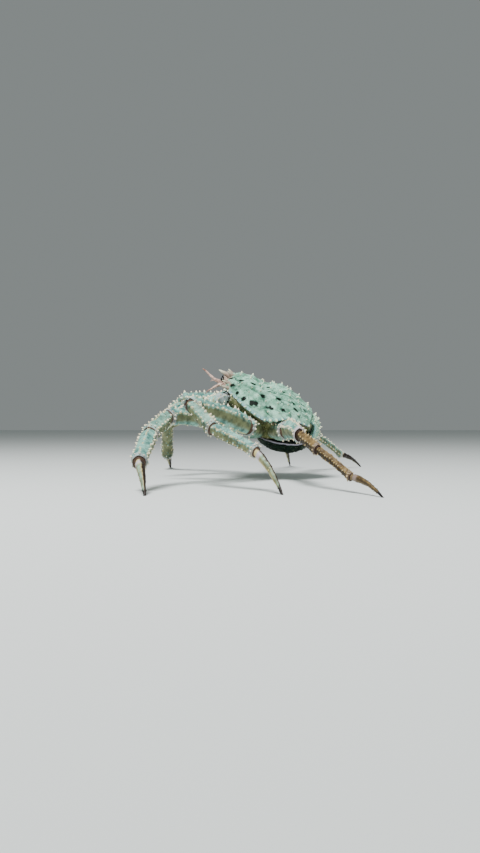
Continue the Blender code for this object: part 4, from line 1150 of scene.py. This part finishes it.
# The underbody's olive tones are darker partly as painted shade beneath the shell
UNDER_TONES = {"shade": "#565E3C", "speck": "#3A4529", "under": "#666A3A", "under_shade": "#363D20",
               "rim": "#C5CAB4", "ridge": "#CFC6A0", "spot": "#11180F", "tip": "#E6E0C2",
               "seam": "#A3946E", "fold": "#4A4326", "stain": "#4E5A34", "stripe": "#2E301C"}
# The flap's near-black tones are partly painted shade beneath the body, over its dark green
FLAP_TONES = {"shade": "#0F1A14", "speck": "#070D0A", "under": "#1F2E1B", "under_shade": "#111A0F",
              "rim": "#D8D0E4", "ridge": "#5E6B58", "spot": "#030504", "tip": "#66735B", "seam": "#33321E",
              "fold": "#14140C", "stain": "#1C2615", "stripe": "#10140C"}
FEELER_TONES = {"shade": "#9A6A5A", "speck": "#5B3328", "under": "#B08B6C", "under_shade": "#785A42",
                "rim": "#F1DACB", "ridge": "#E6C2AC", "spot": "#2C1410", "tip": "#F5E4CF",
                "seam": "#B58C7A", "fold": "#5A3428", "stain": "#8A5B48", "stripe": "#5A3428"}


def colour(code):
    """An sRGB hex code as a linear colour."""
    values = [int(code[i : i + 2], 16) / 255 for i in (1, 3, 5)]
    return (*[v / 12.92 if v <= 0.04045 else ((v + 0.055) / 1.055) ** 2.4 for v in values], 1)


def node(tree, kind, out, inputs=None, **settings):
    """Adds a node with its settings, and gives its output of that name or number.

    An input is a value, or another node's output to link.
    """
    made = tree.nodes.new(kind)
    for name, value in settings.items():
        setattr(made, name, value)
    for key, value in (inputs or {}).items():
        if isinstance(value, bpy.types.NodeSocket):
            tree.links.new(value, made.inputs[key])
        else:
            made.inputs[key].default_value = value
    return made.outputs[out] if made.outputs else None


def blank(name):
    """A new material, its empty node tree, and the place on the object in metres."""
    material = bpy.data.materials.new(name)
    material.use_nodes = True
    tree = material.node_tree
    tree.nodes.clear()
    return material, tree, node(tree, "ShaderNodeTexCoord", "Object")


def shell_finish(name, ground, tones, shine=0.06):
    """Calcified crab shell, grown in layers and dulled by its fine grain, so it is matt with a soft sheen.

    The eye sees a pale ground with cloudy patches about 12 mm across, specks about 1.5 mm across, dark
    spots, a duller underside, pale rims and cream spine tips. ground is the pale ground's colour, and shine
    the strength of its highlights.
    """
    material, tree, place = blank(name)
    tone = {key: colour(code) for key, code in tones.items()}
    value = {key: node(tree, "ShaderNodeAttribute", "Fac", attribute_name=key) for key in POINT_VALUES}
    pattern = {
        key: node(tree, "ShaderNodeTexNoise", "Fac",
                  {"Vector": place, "Scale": 1 / (size * MM), "Detail": detail, "Roughness": rough})
        for key, (size, detail, rough) in SHELL_PATTERNS.items()
    }
    # The underside's colour and the spots end at a ragged line
    inputs = {0: pattern["ragged"], 1: 0.7, 2: -0.35}
    wander = node(tree, "ShaderNodeMath", 0, inputs, operation="MULTIPLY_ADD")
    low, edge = (
        node(tree, "ShaderNodeMath", 0, {0: value[key], 1: wander}, operation="ADD")
        for key in ("under", "spot")
    )
    source = {"patch": pattern["cloud"], "speck": pattern["grain"], "under": low, "stain": pattern["stain"],
              "ridge": value["ridge"], "spot": edge, "tip": value["tip"]}
    cover = {
        key: node(tree, "ShaderNodeMapRange", 0, {0: source[key], 1: first, 2: last, 4: strength},
                  interpolation_type="SMOOTHSTEP")
        for key, (first, last, strength) in SHELL_COVERS.items()
    }
    # Strengths of the painted shade in hollows and folds, with the dark lines between rings, and of the rims
    deep, rim = (
        node(tree, "ShaderNodeMath", 0, {0: value[key], 1: strength}, operation="MULTIPLY")
        for key, strength in (("hollow", 0.8), ("rim", 0.85))
    )
    # The joints' skin turns to the fold tone, as painted shade, where its folds sink in
    pale, under, skin = (
        node(tree, "ShaderNodeMix", 2, {0: share, 6: first, 7: second}, data_type="RGBA")
        for share, first, second in (
            (cover["patch"], ground, tone["shade"]),
            (cover["patch"], tone["under"], tone["under_shade"]),
            (deep, tone["seam"], tone["fold"]),
        )
    )
    # Each layer covers those before it: specks, the underside, wide stains, painted shade in hollows and
    # folds, ridges worn to cream, rims and cuffs a little blue or lilac, tips, spots, dark bands and painted
    # shade under the rim, and the joints' skin
    body = pale
    for share, layer in (
        (cover["speck"], tone["speck"]),
        (cover["under"], under),
        (cover["stain"], tone["stain"]),
        # Painted shade in hollows and folds, and the dark lines between rings, in the speck tone
        (deep, tone["speck"]),
        (cover["ridge"], tone["ridge"]),
        (rim, tone["rim"]),
        (cover["tip"], tone["tip"]),
        (cover["spot"], tone["spot"]),
        (value["stripe"], tone["stripe"]),
        (value["seam"], skin),
    ):
        body = node(tree, "ShaderNodeMix", 2, {0: share, 6: body, 7: layer}, data_type="RGBA")
    inputs = {"Strength": 0.35, "Distance": 0.4 * MM, "Height": pattern["fine"]}
    relief = node(tree, "ShaderNodeBump", 0, inputs)
    gloss = node(tree, "ShaderNodeMapRange", 0, {0: pattern["cloud"], 1: 0.3, 2: 0.7, 3: 0.42, 4: 0.58})
    inputs = {"Base Color": body, "Roughness": gloss, "Normal": relief, "IOR": 1.52,
              "Specular IOR Level": shine}
    shader = node(tree, "ShaderNodeBsdfPrincipled", 0, inputs)
    node(tree, "ShaderNodeOutputMaterial", None, {"Surface": shader})
    return material


def eye_finish(pigment):
    """Clear wet cornea over black pigment: deep black with a small sharp highlight, on a pale stalk."""
    material, tree, place = blank("Wet cornea over black pigment")
    cornea = node(tree, "ShaderNodeAttribute", "Fac", attribute_name="spot")
    grain = node(tree, "ShaderNodeTexNoise", "Fac", {"Vector": place, "Scale": 1 / (1.5 * MM), "Detail": 2.0})
    inputs = {0: grain, 6: colour("#D9BFAE"), 7: colour("#9C8A78")}
    stalk = node(tree, "ShaderNodeMix", 2, inputs, data_type="RGBA")
    body = node(tree, "ShaderNodeMix", 2, {0: cornea, 6: stalk, 7: pigment}, data_type="RGBA")
    gloss = node(tree, "ShaderNodeMapRange", 0, {0: cornea, 3: 0.5, 4: 0.1})
    shader = node(tree, "ShaderNodeBsdfPrincipled", 0, {"Base Color": body, "Roughness": gloss, "IOR": 1.38})
    node(tree, "ShaderNodeOutputMaterial", None, {"Surface": shader})
    return material


def bone_finish():
    """Limed jaw, worn smooth by use: cream, darker in patches about 2 mm across, with a waxy shine."""
    material, tree, place = blank("Cream limed jaw, worn smooth")
    grain = node(tree, "ShaderNodeTexNoise", "Fac", {"Vector": place, "Scale": 1 / (2 * MM), "Detail": 3.0})
    inputs = {0: grain, 6: colour("#E4DBBE"), 7: colour("#A8966C")}
    body = node(tree, "ShaderNodeMix", 2, inputs, data_type="RGBA")
    relief = node(tree, "ShaderNodeBump", 0, {"Strength": 0.2, "Distance": 0.3 * MM, "Height": grain})
    shader = node(tree, "ShaderNodeBsdfPrincipled", 0,
                  {"Base Color": body, "Roughness": 0.32, "Normal": relief, "IOR": 1.55})
    node(tree, "ShaderNodeOutputMaterial", None, {"Surface": shader})
    return material


def floor_finish():
    """Matt studio board, rolled: an even pale grey without gloss."""
    material = bpy.data.materials.new("Rolled matt studio board")
    material.use_nodes = True
    shader = material.node_tree.nodes["Principled BSDF"]
    shader.inputs["Base Color"].default_value = colour("#D5DAD8")
    shader.inputs["Roughness"].default_value = 0.9
    return material


# Settings and steps


class CrabSizes(bpy.types.PropertyGroup):
    """Sizes that a user would change."""

    spine_scale: bpy.props.FloatProperty(
        name="Spine length", description="Length of the spines against their usual length", default=1.0,
        min=0.2, max=1.5,
    )
    camera_distance: bpy.props.FloatProperty(
        name="Camera distance", description="From the camera to the middle of the body", default=1.4,
        unit="LENGTH",
    )
    camera_height: bpy.props.FloatProperty(
        name="Camera height", description="Of the camera over the floor", default=0.085, unit="LENGTH",
    )


def finish_colour(name, description, code):
    """A setting for the main colour of a finish."""
    return bpy.props.FloatVectorProperty(
        name=name, description=description, subtype="COLOR", size=4, min=0, max=1, default=colour(code)
    )


class CrabColours(bpy.types.PropertyGroup):
    """The main colour of each finish."""

    shell: finish_colour("Shell", "Pale ground of the carapace and the band of the tail", "#A3D4BC")
    limb: finish_colour("Limbs", "Pale ground of the walking legs and claws", "#8CC0B0")
    hind_limb: finish_colour("Tan segments", "Pale ground of the near hind leg's far segments", "#8C7448")
    underside: finish_colour("Underside", "Pale ground of the thorax and the mouth limbs", "#8A8760")
    # The flap's dark green is partly painted shade beneath the body
    flap: finish_colour("Flap", "Ground of the tail's flap", "#1D3025")
    feeler: finish_colour("Feelers", "Pale ground of the antennae and antennules", "#D6AB9C")
    eye: finish_colour("Eyes", "Pigment under the cornea", "#0B0C0C")


class CrabLight(bpy.types.PropertyGroup):
    """The studio's light."""

    key: bpy.props.FloatProperty(
        name="Key light", description="Power of the main lamp in watts", default=80.0, min=0
    )
    fill: bpy.props.FloatProperty(
        name="Fill light", description="Power of the second lamp in watts", default=7.0, min=0
    )
    sky: bpy.props.FloatProperty(
        name="Surround", description="Strength of the even light", default=0.27, min=0
    )
    surround: bpy.props.FloatVectorProperty(
        name="Surround colour", description="Colour of the even light", subtype="COLOR", size=4,
        default=(0.86, 0.95, 0.94, 1),
    )


class CRAB_OT_carapace(bpy.types.Operator):
    """Builds the domed shield with its spines and the rostrum"""

    bl_idname = "crab.carapace"
    bl_label = "Carapace"

    def execute(self, context):
        shell = context.scene.crab_colours.shell
        material = shell_finish("Grey-green crab shell, grown and granular", shell, SHELL_TONES)
        carapace(material, context.scene.crab_sizes.spine_scale)
        return {"FINISHED"}


class CRAB_OT_thorax(bpy.types.Operator):
    """Builds the underbody with the face"""

    bl_idname = "crab.thorax"
    bl_label = "Thorax"

    def execute(self, context):
        ground = context.scene.crab_colours.underside
        thorax(shell_finish("Olive crab shell of the underbody, smooth", ground, UNDER_TONES, 0.2))
        return {"FINISHED"}


class CRAB_OT_abdomen(bpy.types.Operator):
    """Builds the band and the flap of the tail"""

    bl_idname = "crab.abdomen"
    bl_label = "Tail"

    def execute(self, context):
        colours = context.scene.crab_colours
        band = shell_finish("Grey-green crab shell of the tail, knobbed", colours.shell, SHELL_TONES)
        flap = shell_finish("Dark crab shell of the flap, leathery", colours.flap, FLAP_TONES)
        last = len(ABDOMEN) - 1
        abdomen_plate("abdomen_band", 0, ABDOMEN_SPLIT, band, 0.8, BAND_SPINES)
        abdomen_plate("abdomen_flap", ABDOMEN_SPLIT, last, flap, 0.7, FLAP_SPINES)
        return {"FINISHED"}


class CRAB_OT_limbs(bpy.types.Operator):
    """Builds the walking legs and the claws"""

    bl_idname = "crab.limbs"
    bl_label = "Limbs"

    def execute(self, context):
        colours, scale = context.scene.crab_colours, context.scene.crab_sizes.spine_scale
        limb = shell_finish("Blue-green crab shell of the limbs, ridged", colours.limb, LIMB_TONES, 0.3)
        tan = shell_finish("Tan crab shell of the hind limb, ridged", colours.hind_limb, HIND_TONES, 0.2)
        materials = {"limb": limb, "hind_limb": tan}
        for side in SIDES:
            for number in LEG_ROOTS:
                walking_leg(side, number, materials, scale)
            claw(side, limb, scale)
        return {"FINISHED"}


class CRAB_OT_mouth(bpy.types.Operator):
    """Builds the mouth parts and the outer mouth limbs"""

    bl_idname = "crab.mouth"
    bl_label = "Mouth"

    def execute(self, context):
        ground = context.scene.crab_colours.underside
        olive = shell_finish("Olive crab shell of the mouth limbs, bristled", ground, UNDER_TONES, 0.3)
        mouth(olive, bone_finish())
        for side in SIDES:
            mouth_leg(side, olive)
        return {"FINISHED"}


class CRAB_OT_eyes(bpy.types.Operator):
    """Builds the eyes on their stalks"""

    bl_idname = "crab.eyes"
    bl_label = "Eyes"

    def execute(self, context):
        cornea = eye_finish(context.scene.crab_colours.eye)
        for side in SIDES:
            eye(side, cornea)
        return {"FINISHED"}


class CRAB_OT_feelers(bpy.types.Operator):
    """Builds the antennae and antennules"""

    bl_idname = "crab.feelers"
    bl_label = "Feelers"

    def execute(self, context):
        pink = shell_finish("Pinkish feeler cuticle, ringed", context.scene.crab_colours.feeler, FEELER_TONES)
        for side in SIDES:
            feelers(side, pink)
        return {"FINISHED"}


class CRAB_OT_stage(bpy.types.Operator):
    """Adds the floor, the light and the camera"""

    bl_idname = "crab.stage"
    bl_label = "Studio"

    def execute(self, context):
        scene, sizes, light = context.scene, context.scene.crab_sizes, context.scene.crab_light
        floor = Shape()
        corners = np.array(((-1, -1, 0), (1, -1, 0), (1, 1, 0), (-1, 1, 0)))
        floor.add(corners * FLOOR_REACH, [np.arange(4)[None]])
        floor.build("floor_board", floor_finish())
        world = bpy.data.worlds.new("Soft surround")
        world.use_nodes = True
        background = world.node_tree.nodes["Background"]
        background.inputs["Color"].default_value = light.surround
        background.inputs["Strength"].default_value = light.sky
        scene.world = world
        for name, place, size in LAMPS:
            lamp = bpy.data.lights.new(name.title(), "AREA")
            lamp.energy = getattr(light, name)
            lamp.size = size
            holder = bpy.data.objects.new(name.title(), lamp)
            holder.location = place
            holder.rotation_mode = "QUATERNION"
            holder.rotation_quaternion = (Vector(LAMP_TARGET) - Vector(place)).to_track_quat("-Z", "Y")
            scene.collection.objects.link(holder)
        camera = bpy.data.cameras.new("Camera")
        camera.sensor_width = SENSOR_WIDTH
        camera.lens = SENSOR_WIDTH * FOCAL_PIXELS / FRAME_PIXELS[1]
        camera.dof.use_dof = False
        holder = bpy.data.objects.new("Camera", camera)
        holder.location = (CAMERA_ASIDE + SHIFT[0], -sizes.camera_distance + SHIFT[1], sizes.camera_height)
        holder.rotation_euler = (math.radians(90 - CAMERA_PITCH), 0, 0)
        scene.collection.objects.link(holder)
        scene.camera = holder
        return {"FINISHED"}


class CRAB_PT_panel(bpy.types.Panel):
    """Lists the crab's settings and the steps that build it"""

    bl_idname = "CRAB_PT_panel"
    bl_label = "Red king crab"
    bl_space_type = "VIEW_3D"
    bl_region_type = "UI"
    bl_category = "Crab"

    def draw(self, context):
        layout = self.layout
        scene = context.scene
        for group in (scene.crab_sizes, scene.crab_colours, scene.crab_light):
            for name in group.__annotations__:
                layout.prop(group, name)
        for step in STEPS:
            layout.operator(step.bl_idname)


STEPS = (CRAB_OT_carapace, CRAB_OT_thorax, CRAB_OT_abdomen, CRAB_OT_limbs, CRAB_OT_mouth, CRAB_OT_eyes,
         CRAB_OT_feelers, CRAB_OT_stage)
CLASSES = (CrabSizes, CrabColours, CrabLight, *STEPS, CRAB_PT_panel)


def register():
    """Registers the settings, the steps and the panel."""
    for item in CLASSES:
        bpy.utils.register_class(item)
    bpy.types.Scene.crab_sizes = bpy.props.PointerProperty(type=CrabSizes)
    bpy.types.Scene.crab_colours = bpy.props.PointerProperty(type=CrabColours)
    bpy.types.Scene.crab_light = bpy.props.PointerProperty(type=CrabLight)


def unregister():
    """Takes the settings, the steps and the panel away again."""
    del bpy.types.Scene.crab_light
    del bpy.types.Scene.crab_colours
    del bpy.types.Scene.crab_sizes
    for item in reversed(CLASSES):
        bpy.utils.unregister_class(item)


def main():
    """Builds the whole crab and its studio."""
    register()
    bpy.ops.crab.carapace()
    bpy.ops.crab.thorax()
    bpy.ops.crab.abdomen()
    bpy.ops.crab.limbs()
    bpy.ops.crab.mouth()
    bpy.ops.crab.eyes()
    bpy.ops.crab.feelers()
    bpy.ops.crab.stage()


if __name__ == "__main__":
    main()
